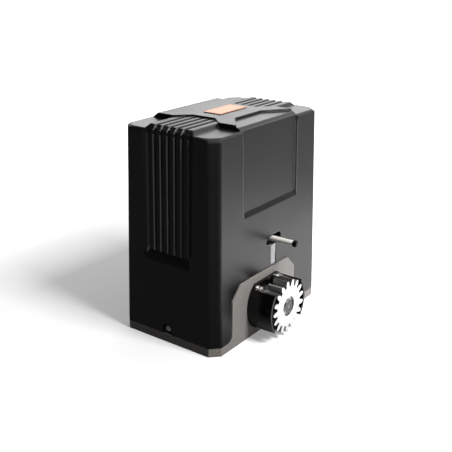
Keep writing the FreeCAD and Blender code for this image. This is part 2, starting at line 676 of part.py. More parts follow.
def base_casting():
    body = new_body("base_casting")
    around = cut_rectangle("size.base_length", "size.base_width", "size.corner_cut")
    pad(outline(new_sketch(body, "XY"), around), "size.base_height")
    pad(draw_plate(new_sketch(body, "XZ", FRONT)), "size.plate_depth", back=True)

    # wheel chamber, shaft tube, worm tower, motor flange and the shelf for the limit bracket
    rear = new_sketch(body, "XZ", "-size.chamber_back")
    pad(
        circle(rear, HOUSING_RADIUS, "size.output_x", "size.output_z"),
        f"size.chamber_back - {CHAMBER_FRONT} + size.tube_wall",
    )
    tube = new_sketch(body, "XZ", f"-({CHAMBER_FRONT})")
    pad(
        circle(tube, TUBE_RADIUS, "size.output_x", "size.output_z"),
        f"{CHAMBER_FRONT} + {FRONT} - size.plate_depth / 2",
    )
    tower = new_sketch(body, "XY", "size.base_height / 2")
    pad(
        circle(tower, TOWER_RADIUS, MOTOR_X, "size.motor_y"),
        "size.gearbox_top - size.base_height / 2",
    )
    flange = new_sketch(body, "XY", "size.gearbox_top - size.flange_height")
    around = cut_rectangle(
        "size.stator_side", "size.stator_side", "size.stator_cut", MOTOR_X, "size.motor_y"
    )
    pad(outline(flange, around), "size.flange_height")
    shelf = new_sketch(body, "XY", "size.gearbox_top - size.shelf_height")
    around = rectangle(
        "size.rod_x - size.bracket_width / 2",
        f"size.plate_depth / 2 - {FRONT}",
        "size.rod_x + size.bracket_width / 2",
        "size.motor_y - size.stator_side / 2 + size.wall",
    )
    pad(outline(shelf, around), "size.shelf_height")

    # lugs for the cover screws
    lugs = new_sketch(body, "XY", "size.base_height / 2")
    for side in ("", "-"):
        outline(lugs, rectangle(
            f"{side}{LUG_BACK}",
            "-size.lug_width / 2",
            f"{side}({LUG_FACE})",
            "size.lug_width / 2",
        ))
    pad(lugs, f"{LUG_TOP} - size.base_height / 2")

    # bores of the output side, cut from behind
    chamber = new_sketch(body, "XZ", "-size.chamber_back")
    pocket(
        circle(chamber, CHAMBER_RADIUS, "size.output_x", "size.output_z"),
        f"size.chamber_back - {CHAMBER_FRONT}",
        forward=True,
    )
    bore = new_sketch(body, "XZ", f"-({CHAMBER_FRONT})")
    pocket(
        circle(bore, "size.output_bearing_diameter / 2", "size.output_x", "size.output_z"),
        f"{CHAMBER_FRONT} + {BEARING_FRONT}",
        forward=True,
    )
    seat = new_sketch(body, "XZ", BEARING_FRONT)
    pocket(
        circle(seat, "size.seal_diameter / 2", "size.output_x", "size.output_z"),
        "size.seal_width",
        forward=True,
    )
    mouth = new_sketch(body, "XZ", FRONT)
    pocket(
        circle(mouth, "size.seal_diameter / 2 - 2", "size.output_x", "size.output_z"),
        f"{FRONT} - {SEAL_FRONT}",
    )

    # bores of the worm, cut from above
    worm_levels = [
        ("size.gearbox_top", "size.upper_bearing_diameter / 2", "size.upper_bearing_foot"),
        (
            "size.upper_bearing_foot",
            "size.worm_diameter / 2 + size.wheel_module + 1.5",
            "(size.lower_bearing_foot + size.lower_bearing_width)",
        ),
        (
            "(size.lower_bearing_foot + size.lower_bearing_width)",
            "size.lower_bearing_diameter / 2",
            "size.lower_bearing_foot",
        ),
    ]
    for top, radius, foot in worm_levels:
        level = new_sketch(body, "XY", top)
        pocket(circle(level, radius, MOTOR_X, "size.motor_y"), f"{top} - {foot}")

    # tapped holes
    small = "size.small_screw"
    tapped_holes(body, "XZ", FRONT, guard_screw_places(), "size.guard_screw_diameter",
                 "size.guard_screw_bite + size.hole_reserve")
    tapped_holes(body, "XY", "size.gearbox_top", tie_places(), "size.tie_diameter", "size.flange_height")
    tapped_holes(body, "XY", "size.gearbox_top", bracket_screw_places(), small,
                 "size.shelf_screw_bite + size.hole_reserve")
    for places in (board_screw_places(), transformer_screw_places()):
        tapped_holes(body, "XY", "size.base_height", places, small,
                     "size.foot_screw_bite + size.hole_reserve")
    rear_holes = new_sketch(body, "XZ", "-size.chamber_back")
    for x, z in rear_screw_places():
        circle(rear_holes, "size.rear_screw_diameter / 2", x, z)
    pocket(rear_holes, "size.rear_screw_bite", forward=True)
    clamp_hole = new_sketch(body, "YZ", CLAMP_FACE)
    circle(clamp_hole, f"{small} / 2", CLAMP_SCREW[1], CLAMP_SCREW[2])
    pocket(clamp_hole, "size.clamp_screw_bite")
    for side, turn in (("", True), ("-", False)):
        lug_hole = new_sketch(body, "YZ", f"{side}{LUG_BACK}")
        circle(lug_hole, "size.cover_screw_diameter / 2", "0", "size.cover_screw_height")
        pocket(lug_hole, "size.lug_depth", forward=turn)

    # anchor slots, cable hole and the hollows of the underside
    floor = new_sketch(body, "XY", "size.base_height")
    for sx, sy in CORNERS:
        y = f"{sy} * {ANCHOR_Y}"
        slot(
            floor,
            (f"{sx} * {ANCHOR_X} - size.anchor_travel / 2", y),
            (f"{sx} * {ANCHOR_X} + size.anchor_travel / 2", y),
            "size.anchor_width / 2",
        )
    circle(floor, "size.cable_hole / 2", CABLE_X, "size.cable_y")
    pocket(floor, "size.base_height")
    hollows = new_sketch(body, "XY")
    for sx, sy in CORNERS:
        near = "size.relief_rib / 2"
        outline(hollows, rectangle(
            f"{sx} * {near}",
            f"{sy} * {near}",
            f"{sx} * ({ANCHOR_X} - size.anchor_pad_x - {near})",
            f"{sy} * ({ANCHOR_Y} - size.anchor_pad_y - {near})",
        ))
    pocket(hollows, "size.base_relief", forward=True)
    return body


# --------------------------------------------------------------------------------------------
# Turned and stacked pieces
# --------------------------------------------------------------------------------------------
def ring_profile(outer, inner, start, end):
    """Half section of a ring."""
    return [(inner, start), (outer, start), (outer, end), (inner, end)]


def bearing_middle(kind):
    bore = "size.shaft_diameter" if kind == "output" else f"size.{kind}_bearing_bore"
    return f"(size.{kind}_bearing_diameter + {bore}) / 4"


def bearing_outer(name, kind, start, at, axis="Z"):
    """Outer ring of a sealed bearing with its two shields."""
    width = f"size.{kind}_bearing_width"
    outer = f"size.{kind}_bearing_diameter / 2"
    land = f"({outer} - size.bearing_land)"
    inner = f"({bearing_middle(kind)} + size.bearing_gap / 2)"
    end = f"{start} + {width}"
    start_in, end_in = f"{start} + size.edge_break", f"{end} - size.edge_break"
    profile = [
        (inner, start_in), (land, start_in), (land, start), (outer, start),
        (outer, end), (land, end), (land, end_in), (inner, end_in),
    ]
    return turned(name, profile, at, axis)


def bearing_inner(name, kind, start, at, axis="Z"):
    bore = "size.shaft_diameter" if kind == "output" else f"size.{kind}_bearing_bore"
    outer = f"{bearing_middle(kind)} - size.bearing_gap / 2"
    end = f"{start} + size.{kind}_bearing_width"
    return turned(name, ring_profile(outer, f"{bore} / 2", start, end), at, axis)


def socket_screw(name, at, axis, thread, length, head, height):
    """Socket-head screw: its thread starts at the given place, its head stands along the axis."""
    profile = [
        ("0", f"-({length})"), (f"{thread} / 2", f"-({length})"), (f"{thread} / 2", "0"),
        (f"{head} / 2", "0"), (f"{head} / 2", f"{height} - size.edge_break"),
        (f"{head} / 2 - size.edge_break", height),
        ("0", height),
    ]
    blank = turned(f"{name}_blank", profile, at, axis)
    key = put(doc.addObject("Part::Prism", f"{name}_key"), at, axis)
    key.Polygon = 6
    key.setExpression("Circumradius", f"{head} * 0.29")
    key.setExpression("Height", height)
    lift = {"X": ("x", 1), "-X": ("x", -1), "Y": ("y", 1), "-Y": ("y", -1), "Z": ("z", 1)}
    letter, sign = lift[axis]
    base = at["xyz".index(letter)]
    key.setExpression(f"Placement.Base.{letter}", f"{base} + {sign} * ({height}) / 2")
    return cut(name, blank, [key])


def pan_screw(name, at, axis, thread, length, head):
    """Pan-head screw with a cross recess, in proportion to its head."""
    height = f"({head} * 0.4)"
    profile = [
        ("0", f"-({length})"), (f"{thread} / 2", f"-({length})"), (f"{thread} / 2", "0"),
        (f"{head} / 2", "0"), (f"{head} / 2", f"{height} * 0.45"),
        (f"{head} * 0.36", f"{height} * 0.85"), ("0", height),
    ]
    body = turned(name, profile, at, axis)
    cross = new_sketch(body, "XY", height)
    arm, half = f"({head} * 0.27)", f"({head} * 0.07)"
    outline(cross, [
        (half, half), (arm, half), (arm, f"-{half}"), (half, f"-{half}"),
        (half, f"-{arm}"), (f"-{half}", f"-{arm}"), (f"-{half}", f"-{half}"),
        (f"-{arm}", f"-{half}"), (f"-{arm}", half), (f"-{half}", half),
        (f"-{half}", arm), (half, arm),
    ])
    pocket(cross, f"{height} * 0.7")
    return body


# --------------------------------------------------------------------------------------------
# Gearbox
# --------------------------------------------------------------------------------------------
def flat_disc(name, start, end, hole):
    """Disc behind the wheel chamber, cut flat over the base, with holes for the screws."""
    body = new_body(name)
    disc = new_sketch(body, "XZ", f"-({end})")
    circle(disc, HOUSING_RADIUS, "size.output_x", "size.output_z")
    circle(disc, hole, "size.output_x", "size.output_z")
    for x, z in rear_screw_places():
        circle(disc, "size.rear_screw_diameter / 2", x, z)
    pad(disc, f"({end}) - ({start})")
    flat = new_sketch(body, "XZ", f"-({start})")
    outline(flat, rectangle(
        f"size.output_x - {HOUSING_RADIUS}",
        "0",
        f"size.output_x + {HOUSING_RADIUS}",
        "size.base_height + size.edge_break",
    ))
    pocket(flat, f"({end}) - ({start})")
    return body


COVER_FRONT = "(size.chamber_back + size.gasket)"
COVER_BACK = f"({COVER_FRONT} + size.rear_cover)"


def gearbox_cover():
    """Rear cover whose boss carries the rear output bearing."""
    disc = flat_disc("rear_disc", COVER_FRONT, COVER_BACK, "size.output_bearing_diameter / 2")
    boss = turned("rear_boss", [
        ("size.output_bearing_diameter / 2", HUB_BACK),
        (TUBE_RADIUS, HUB_BACK),
        (TUBE_RADIUS, f"{COVER_BACK} + size.rear_boss - size.casting_bevel"),
        (f"{TUBE_RADIUS} - size.casting_bevel", f"{COVER_BACK} + size.rear_boss"),
        ("0", f"{COVER_BACK} + size.rear_boss"),
        ("0", f"{REAR_BEARING_BACK} + 2"),
        ("size.output_bearing_diameter / 2 - 3", f"{REAR_BEARING_BACK} + 2"),
        ("size.output_bearing_diameter / 2 - 3", REAR_BEARING_BACK),
        ("size.output_bearing_diameter / 2", REAR_BEARING_BACK),
    ], OUTPUT, "Y")
    return join("gearbox_cover", [disc, boss])


def output_seal():
    lip = "size.shaft_diameter / 2 + size.bearing_gap / 2"
    return turned("output_seal", [
        (f"{lip} + size.seal_lip", BEARING_FRONT),
        ("size.seal_diameter / 2", BEARING_FRONT),
        ("size.seal_diameter / 2", SEAL_FRONT),
        (f"{lip} + 0.6", SEAL_FRONT),
        (lip, f"{SEAL_FRONT} - 1.5"),
        (f"{lip} + size.seal_lip", f"{SEAL_FRONT} - size.seal_lip"),
    ], OUTPUT, "-Y")


def worm_seal():
    lip = "size.upper_bearing_bore / 2 + size.bearing_gap / 2"
    return turned("worm_seal", [
        (lip, f"{UPPER_BEARING_TOP} + 1"),
        ("size.upper_bearing_diameter / 2", UPPER_BEARING_TOP),
        ("size.upper_bearing_diameter / 2", "size.gearbox_top - 1"),
        (f"{lip} + 3", "size.gearbox_top - 1"),
        (f"{lip} + 2", f"{UPPER_BEARING_TOP} + 3"),
        (lip, f"{UPPER_BEARING_TOP} + 2.5"),
    ], MOTOR)


# --------------------------------------------------------------------------------------------
# Output shaft, pinion and worm wheel
# --------------------------------------------------------------------------------------------
def involute(base_radius, radius):
    """Roll angle that an involute has turned through when it reaches a radius."""
    tangent = math.sqrt(max(radius * radius - base_radius * base_radius, 0)) / base_radius
    return tangent - math.atan(tangent)


def polar(radius, angle, height=0.0):
    return V(radius * math.cos(angle), radius * math.sin(angle), height)


def tooth_flank(module, teeth, play, steps):
    """(radius, half angle) pairs up one flank of an involute tooth, from its root to its tip."""
    pitch_radius = module * teeth / 2
    base_radius = pitch_radius * math.cos(math.radians(20))
    root = pitch_radius - 1.25 * module
    tip = pitch_radius + module
    half = math.pi / (2 * teeth) - play / (2 * pitch_radius) + involute(base_radius, pitch_radius)
    start = max(base_radius, root)
    radii = [start + (tip - start) * i / steps for i in range(steps + 1)]
    flank = [(radius, half - involute(base_radius, radius)) for radius in radii]
    return root, flank


def curved_gear(module, teeth, phase):
    """Spur gear outline with curved flanks, rounded by arcs at tip and root."""
    root, flank = tooth_flank(module, teeth, 0.0, 5)
    edges = []
    pitch = 2 * math.pi / teeth
    for i in range(teeth):
        middle = phase + i * pitch
        rising = [polar(radius, middle - half) for radius, half in flank]
        falling = [polar(radius, middle + half) for radius, half in reversed(flank)]
        foot, end = polar(root, middle - flank[0][1]), polar(root, middle + flank[0][1])
        following = polar(root, middle + pitch - flank[0][1])
        up, down = Part.BSplineCurve(), Part.BSplineCurve()
        up.interpolate(rising)
        down.interpolate(falling)
        tip = Part.Arc(rising[-1], polar(flank[-1][0], middle), falling[0])
        valley = Part.Arc(end, polar(root, middle + pitch / 2), following)
        sides = Part.LineSegment(foot, rising[0]), Part.LineSegment(falling[-1], end)
        edges += [sides[0], up, tip, down, sides[1], valley]
    return Part.Wire([edge.toShape() for edge in edges])


def straight_gear(module, teeth, play, turn, height):
    """Gear outline with flanks of short straight lines, at a height, with a gap at angle 'turn'."""
    root, flank = tooth_flank(module, teeth, play, 2)
    points = []
    pitch = 2 * math.pi / teeth
    for i in range(teeth):
        middle = turn + (i + 0.5) * pitch
        points.append(polar(root, middle - flank[0][1] * 1.1, height))
        points += [polar(radius, middle - half, height) for radius, half in flank]
        points += [polar(radius, middle + half, height) for radius, half in reversed(flank)]
        points.append(polar(root, middle + flank[0][1] * 1.1, height))
    return Part.makePolygon(points + points[:1])


def drive_pinion():
    """17-tooth rack pinion: involute teeth, a recess in its face, a hub behind and a keyway."""
    teeth = doc.addObject("Part::Feature", "pinion_teeth")
    phase = math.radians(value("pinion_phase"))
    wire = curved_gear(value("pinion_module"), int(value("pinion_teeth")), phase)
    teeth.Shape = Part.Face(wire).extrude(V(0, 0, value("pinion_length")))
    put(teeth, ("size.output_x", "size.pinion_length - size.pinion_front", "size.output_z"), "-Y")
    hub = turned("pinion_hub", ring_profile(
        "size.hub_diameter / 2",
        "size.shaft_diameter / 2",
        HUB_START,
        "size.pinion_front - size.pinion_length / 2",
    ), OUTPUT, "-Y")
    bore = cylinder(
        "pinion_bore", "size.shaft_diameter / 2", "size.pinion_front",
        ("size.output_x", "0", "size.output_z"), "-Y",
    )
    sink = cylinder(
        "pinion_recess", "size.pinion_sink_diameter / 2", "size.pinion_sink",
        ("size.output_x", "size.pinion_sink - size.pinion_front", "size.output_z"), "-Y",
    )
    return cut("drive_pinion", join("pinion_blank", [teeth, hub]), [bore, sink, key("way", True)])


PINION_KEY_END = "(size.pinion_front - size.pinion_sink - size.ring_thickness - 0.5)"


def key(name, in_pinion):
    """Parallel key above the output shaft, half in the shaft and half in its gear."""
    if in_pinion:
        length = f"({PINION_KEY_END} - {HUB_START})"
        middle = f"-({PINION_KEY_END} + {HUB_START}) / 2"
    else:
        length = "(size.wheel_width + size.hub_length)"
        middle = f"({HUB_BACK} - {length} / 2)"
    foot = "size.output_z + size.shaft_diameter / 2 - size.key_width / 2"
    place = "pinion" if in_pinion else "wheel"
    sides = ("size.key_width", length, "size.key_width")
    return box(f"{place}_{name}", sides, ("size.output_x", middle, foot))


def output_shaft():
    """Through shaft with ring grooves, two keyways and a centre drilling in its front end."""
    radius = "size.shaft_diameter / 2"
    groove = f"({radius} - 1)"
    front_groove = "(size.pinion_front - size.pinion_sink)"
    blank = turned("shaft_blank", [
        ("0", f"-{REAR_BEARING_BACK}"),
        (f"{radius} - 1", f"-{REAR_BEARING_BACK}"),
        (radius, f"1 - {REAR_BEARING_BACK}"),
        (radius, f"{front_groove}"),
        (groove, f"{front_groove}"),
        (groove, f"{front_groove} + size.ring_thickness"),
        (radius, f"{front_groove} + size.ring_thickness"),
        (radius, "size.pinion_front - size.end_bevel"),
        (f"{radius} - size.end_bevel", "size.pinion_front"),
        ("size.shaft_centre_hole / 2", "size.pinion_front"),
        ("0", "size.pinion_front - size.shaft_centre_hole / 2"),
    ], OUTPUT, "-Y")
    return cut("output_shaft", blank, [key("shaft_way", True), key("shaft_way", False)])


def retaining_ring():
    """Ring that holds the pinion, open at its lower side."""
    radius = "size.shaft_diameter / 2"
    start = "(size.pinion_front - size.pinion_sink)"
    ring = turned("ring_blank", ring_profile(
        f"{radius} + size.ring_lap", f"{radius} - 1", start, f"{start} + size.ring_thickness"
    ), OUTPUT, "-Y")
    opening = box(
        "ring_opening",
        ("size.ring_opening", "size.ring_thickness", "size.shaft_diameter"),
        ("size.output_x", f"-({start} + size.ring_thickness / 2)", "size.output_z - size.shaft_diameter"),
    )
    return cut("pinion_ring", ring, [opening])


def worm_wheel():
    """Wheel with teeth slanted by the worm's lead, on a hub."""
    module, teeth = value("wheel_module"), int(value("wheel_teeth"))
    width = value("wheel_width")
    slant = module / value("worm_diameter") / (module * teeth / 2)
    steps = [-width / 2, width / 2]
    wires = [straight_gear(module, teeth, value("mesh_play"), step * slant, step) for step in steps]
    rim = doc.addObject("Part::Feature", "wheel_teeth")
    rim.Shape = Part.makeLoft(wires, True, True)
    put(rim, ("size.output_x", "size.motor_y", "size.output_z"), "-Y")
    hub = turned("wheel_hub", ring_profile(
        "size.wheel_hub / 2", "size.shaft_diameter / 2", "size.motor_y", HUB_BACK
    ), OUTPUT, "Y")
    bore = cylinder(
        "wheel_bore", "size.shaft_diameter / 2", "size.wheel_width",
        ("size.output_x", f"{WHEEL_BACK} - size.wheel_width", "size.output_z"), "Y",
    )
    return cut("worm_wheel", join("wheel_blank", [rim, hub]), [bore, key("way", False)])


def spacer_sleeve():
    """Sleeve between the front bearing and the worm wheel."""
    return turned("spacer_sleeve", ring_profile(
        "size.shaft_diameter / 2 + 3",
        "size.shaft_diameter / 2",
        f"-{BEARING_BACK}",
        f"{WHEEL_BACK} - size.wheel_width",
    ), OUTPUT, "Y")


# --------------------------------------------------------------------------------------------
# Worm and motor
# --------------------------------------------------------------------------------------------
def worm_thread():
    """One right-hand thread that fills a gap of the wheel at mid height."""
    module = value("wheel_module")
    pitch = math.pi * module
    radius = value("worm_diameter") / 2
    turns = int(value("worm_length") / pitch)
    turns -= 1 - turns % 2
    lean = math.tan(math.radians(20))
    root, tip = radius - 1.4 * module, radius + module
    half = pitch / 4 - value("mesh_play") / 2
    start = -turns * pitch / 2
    corners = [
        V(root, 0, start - half - (radius - root) * lean),
        V(tip, 0, start - half + (tip - radius) * lean),
        V(tip, 0, start + half - (tip - radius) * lean),
        V(root, 0, start + half + (radius - root) * lean),
    ]
    section = Part.makePolygon(corners + corners[:1])
    path = Part.makeHelix(pitch, turns * pitch, radius)
    path.translate(V(0, 0, start))
    thread = doc.addObject("Part::Feature", "worm_thread")
    thread.Shape = Part.Wire(path.Edges).makePipeShell([section], True, True)
    return put(thread, (MOTOR_X, "size.motor_y", "size.output_z"))


def worm_shaft():
    """Worm and motor shaft in one piece."""
    low = "size.lower_bearing_bore / 2"
    core = "(size.worm_diameter / 2 - 1.25 * size.wheel_module)"
    neck = "size.upper_bearing_bore / 2"
    top = "size.top_bearing_bore / 2"
    lower_top = "size.lower_bearing_foot + size.lower_bearing_width"
    shaft = turned("worm_core", [
        ("0", "size.lower_bearing_foot"),
        (low, "size.lower_bearing_foot"),
        (low, lower_top),
        (core, lower_top),
        (core, "size.upper_bearing_foot"),
        (neck, "size.upper_bearing_foot"),
        (neck, TOP_BEARING_FOOT),
        (top, TOP_BEARING_FOOT),
        (top, TOP_BEARING_TOP),
        ("0", TOP_BEARING_TOP),
    ], MOTOR)
    return join("worm_shaft", [shaft, worm_thread()])


def rotor_core():
    radius = "size.rotor_diameter / 2"
    neck = "size.upper_bearing_bore / 2"
    return turned("rotor_core", [
        (neck, f"{STATOR_FOOT} - 4"),
        (f"{radius} - 4", f"{STATOR_FOOT} - 4"),
        (f"{radius} - 2", STATOR_FOOT),
        (radius, STATOR_FOOT),
        (radius, STATOR_TOP),
        (f"{radius} - 2", STATOR_TOP),
        (f"{radius} - 4", f"{STATOR_TOP} + 4"),
        (neck, f"{STATOR_TOP} + 4"),
    ], MOTOR)


def motor_prism(name, foot, height, bores):
    """Square motor piece with cut corners, tie bolt holes and round bores."""
    body = new_body(name)
    around = cut_rectangle(
        "size.stator_side", "size.stator_side", "size.stator_cut", MOTOR_X, "size.motor_y"
    )
    pad(outline(new_sketch(body, "XY", foot), around), height)
    holes = new_sketch(body, "XY", f"{foot} + {height}")
    for x, y in tie_places():
        circle(holes, "size.tie_diameter / 2", x, y)
    pocket(holes, height)
    for radius, low, high in bores:
        level = new_sketch(body, "XY", high)
        pocket(circle(level, radius, MOTOR_X, "size.motor_y"), f"({high}) - ({low})")
    return body


def stator_core():
    bore = "size.rotor_diameter / 2 + size.air_gap"
    return motor_prism(
        "stator_core", STATOR_FOOT, "size.stator_length", [(bore, STATOR_FOOT, STATOR_TOP)]
    )


def lower_shield():
    floor = "size.gearbox_top + size.shield_floor"
    neck = "size.upper_bearing_bore / 2 + 2"
    bores = [("size.shield_bore / 2", floor, STATOR_FOOT), (neck, "size.gearbox_top", floor)]
    return motor_prism("lower_shield", "size.gearbox_top", "size.shield_height", bores)


def upper_shield():
    """Upper end shield with the top bearing's cup."""
    bores = [
        ("size.shield_bore / 2", STATOR_TOP, f"{SHIELD_TOP} - size.shield_floor"),
        ("size.top_bearing_diameter / 2", f"{SHIELD_TOP} - size.shield_floor", SHIELD_TOP),
    ]
    square = motor_prism("upper_square", STATOR_TOP, "size.shield_height", bores)
    seat = "size.top_bearing_diameter / 2"
    outer = f"({seat} + size.tower_wall)"
    roof = f"{TOP_BEARING_TOP} + size.bearing_cap"
    cup = turned("bearing_cup", [
        (seat, TOP_BEARING_FOOT),
        (outer, TOP_BEARING_FOOT),
        (outer, f"{roof} - size.casting_bevel"),
        (f"{outer} - size.casting_bevel", roof),
        ("0", roof),
        ("0", f"{TOP_BEARING_TOP} + 1"),
        (f"{seat} - 3", f"{TOP_BEARING_TOP} + 1"),
        (f"{seat} - 3", TOP_BEARING_TOP),
        (seat, TOP_BEARING_TOP),
    ], MOTOR)
    return join("upper_shield", [square, cup])


def windings():
    outer, inner = "size.winding_diameter / 2", "size.winding_bore / 2"
    rings = []
    for name, foot in (
        ("lower_winding", f"({STATOR_FOOT} - size.winding_height)"),
        ("upper_winding", STATOR_TOP),
    ):
        top = f"{foot} + size.winding_height"
        rings.append(turned(name, [
            (f"{inner} + 3", foot), (f"{outer} - 3", foot), (outer, f"{foot} + 3"),
            (outer, f"{top} - 3"), (f"{outer} - 3", top), (f"{inner} + 3", top),
            (inner, f"{top} - 3"), (inner, f"{foot} + 3"),
        ], MOTOR))
    return group("windings", rings)


def tie_bolts():
    length = f"{SHIELD_TOP} - size.gearbox_top + size.flange_height"
    return group("tie_bolts", [
        socket_screw(f"tie_bolt_{i}", (x, y, SHIELD_TOP), "Z", "size.tie_diameter", length,
                     "size.m5_head", "size.tie_diameter")
        for i, (x, y) in enumerate(tie_places())
    ])


# --------------------------------------------------------------------------------------------
# Pinion guard
# --------------------------------------------------------------------------------------------
def sector(name, radius, start, end, side):
    """Solid sector about the output axis, to the right (1) or the left (-1)."""
    thing = cylinder(name, radius, f"{end} - ({start})", (OUTPUT[0], f"-({start})", OUTPUT[2]), "-Y")
    thing.setExpression("Angle", "2 * size.guard_angle")
    middle = 0 if side == 1 else 180
    turn = AXIS["-Y"] * TURN(V(0, 0, 1), middle - value("guard_angle"))
    thing.Placement = FreeCAD.Placement(V(), turn)
    return thing


def pinion_guard():
    """Square flange with round corners and two arc walls beside the pinion."""
    plate = new_body("guard_plate")
    square = rectangle(
        "size.output_x - size.guard_side / 2",
        "size.output_z - size.guard_side / 2",
        "size.output_x + size.guard_side / 2",
        "size.output_z + size.guard_side / 2",
    )
    flange = pad(outline(new_sketch(plate, "XZ", FRONT), square), "size.guard_flange")
    doc.recompute()
    upright = [
        f"Edge{i}" for i, edge in enumerate(flange.Shape.Edges, start=1)
        if abs(edge.tangentAt(edge.FirstParameter).y) > 0.9
    ]
    rounding = plate.newObject("PartDesign::Fillet", "corners")
    rounding.Base = (flange, upright)
    rounding.setExpression("Radius", "size.guard_corner")
    walls = []
    for side, word in ((1, "right"), (-1, "left")):
        walls.append(sector(f"{word}_bulge", "size.guard_radius", FRONT, GUARD_FACE, side))
        outer = sector(f"{word}_outer", "size.guard_radius", GUARD_FACE, "size.guard_front", side)
        inner = cylinder(
            f"{word}_inner",
            "size.guard_radius - size.guard_wall",
            "size.guard_front",
            (OUTPUT[0], f"-{GUARD_FACE}", OUTPUT[2]),
            "-Y",
        )
        walls.append(cut(f"{word}_wall", outer, [inner]))
    holes = [
        cylinder("hub_hole", "size.hub_diameter / 2 + 2", "size.guard_front", OUTPUT, "-Y")
    ]
    for i, (x, z) in enumerate(guard_screw_places()):
        hole = cylinder(
            f"guard_hole_{i}", "size.guard_screw_diameter / 2 + size.part_play",
            "size.guard_front", (x, "0", z), "-Y",
        )
        holes.append(hole)
    return cut("pinion_guard", join("guard_blank", [plate, *walls]), holes)


def guard_fasteners():
    screws, washers = [], []
    for i, (x, z) in enumerate(guard_screw_places()):
        seat = f"({GUARD_FACE} + size.washer_thickness)"
        screws.append(socket_screw(
            f"guard_screw_{i}", (x, f"-{seat}", z), "-Y", "size.guard_screw_diameter",
            "size.washer_thickness + size.guard_flange + size.guard_screw_bite",
            "size.guard_screw_head", "size.guard_screw_diameter",
        ))
        washers.append(turned(f"guard_washer_{i}", ring_profile(
            "size.washer_diameter / 2", "size.guard_screw_diameter / 2", GUARD_FACE, seat
        ), (x, "0", z), "-Y"))
    return group("guard_screws", screws), group("guard_washers", washers)


# --------------------------------------------------------------------------------------------
# Limit switch
# --------------------------------------------------------------------------------------------
PIVOT = ("size.rod_x", "size.pivot_y")
COIL_RADIUS = "(size.hub_radius + size.spring_wire)"
SWITCH_MIDDLE = f"({SHELF_TOP} + size.switch_height / 2)"


def switch_screw_places():
    for side in (1, -1):
        for turn in (1, -1):
            yield (
                f"size.rod_x + {side} * (size.switch_distance + size.switch_width - 3.5)",
                f"size.pivot_y + {turn} * (size.switch_depth / 2 - 3)",
            )


def limit_bracket():
    """Folded sheet with a foot, a front leg, a shelf and a tab that the spring's legs straddle.

    A folded shield stands before the leg and closes the stem of the cover's slot.
    """
    body = new_body("limit_bracket")
    front = "-size.bracket_front"
    inside = f"{front} + size.sheet"
    foot_end = f"{front} + size.bracket_foot_depth"
    shelf_end = f"{front} + size.bracket_depth"
    foot_top = "size.gearbox_top + size.sheet"
    profile = new_sketch(body, "YZ", "size.rod_x - size.bracket_width / 2")
    outline(profile, [
        (front, "size.gearbox_top"), (foot_end, "size.gearbox_top"), (foot_end, foot_top),
        (inside, foot_top), (inside, "size.bracket_shelf"), (shelf_end, "size.bracket_shelf"),
        (shelf_end, SHELF_TOP), (front, SHELF_TOP),
    ])
    pad(profile, "size.bracket_width")
    tab = new_sketch(body, "XY", SHELF_TOP)
    half = f"({COIL_RADIUS} - size.spring_wire / 2)"
    tab_back = f"size.pivot_y + {COIL_RADIUS} + size.spring_wire / 2 + 2 * size.part_play"
    outline(tab, rectangle(
        f"size.rod_x - {half}", tab_back, f"size.rod_x + {half}", f"{tab_back} + size.sheet"
    ))
    pad(tab, f"size.hub_top - {SHELF_TOP}")
    width = "(size.stem_width - 2 * size.plate_gap)"
    shield = new_sketch(body, "XZ", "size.shield_front")
    low, high = "(size.plate_top + size.plate_gap)", "(size.shield_top - size.sheet)"
    outline(shield, [
        (f"size.rod_x - {width} / 2", low), (f"size.rod_x + {width} / 2", low),
        (f"size.rod_x + {width} / 2", high),
        (f"size.rod_x + {width} / 2 - size.sheet", "size.shield_top"),
        (f"size.rod_x - {width} / 2 + size.sheet", "size.shield_top"),
        (f"size.rod_x - {width} / 2", high),
    ], {2: "size.sheet", 4: "size.sheet"})
    pad(shield, "size.sheet", back=True)
    flanges = new_sketch(body, "XY", foot_top)
    for side in (1, -1):
        outline(flanges, rectangle(
            f"size.rod_x + {side} * {width} / 2", "size.sheet / 2 - size.shield_front",
            f"size.rod_x + {side} * ({width} / 2 - size.sheet)", "size.sheet / 2 - size.bracket_front",
        ))
    pad(flanges, f"{SHELF_TOP} - ({foot_top})")
    shelf = new_sketch(body, "XY", SHELF_TOP)
    circle(shelf, "size.pivot_diameter / 2", *PIVOT)
    for x, y in switch_screw_places():
        circle(shelf, "size.switch_screw / 2", x, y)
    pocket(shelf, "size.sheet")
    foot = new_sketch(body, "XY", foot_top)
    for x, y in bracket_screw_places():
        circle(foot, "size.small_screw / 2", x, y)
    pocket(foot, "size.sheet")
    return body


def pivot_pin():
    radius = "size.pivot_diameter / 2"
    head = f"{radius} + size.pin_head"
    ring = "size.hub_top + size.part_play"
    return turned("pivot_pin", [
        ("0", "size.bracket_shelf - size.ring_thickness"),
        (head, "size.bracket_shelf - size.ring_thickness"),
        (head, "size.bracket_shelf"), (radius, "size.bracket_shelf"), (radius, ring),
        (head, ring), (head, f"{ring} + size.ring_thickness"), (radius, f"{ring} + size.ring_thickness"),
        (radius, f"{ring} + 2 * size.ring_thickness"), ("0", f"{ring} + 2 * size.ring_thickness"),
    ], (*PIVOT, "0"))


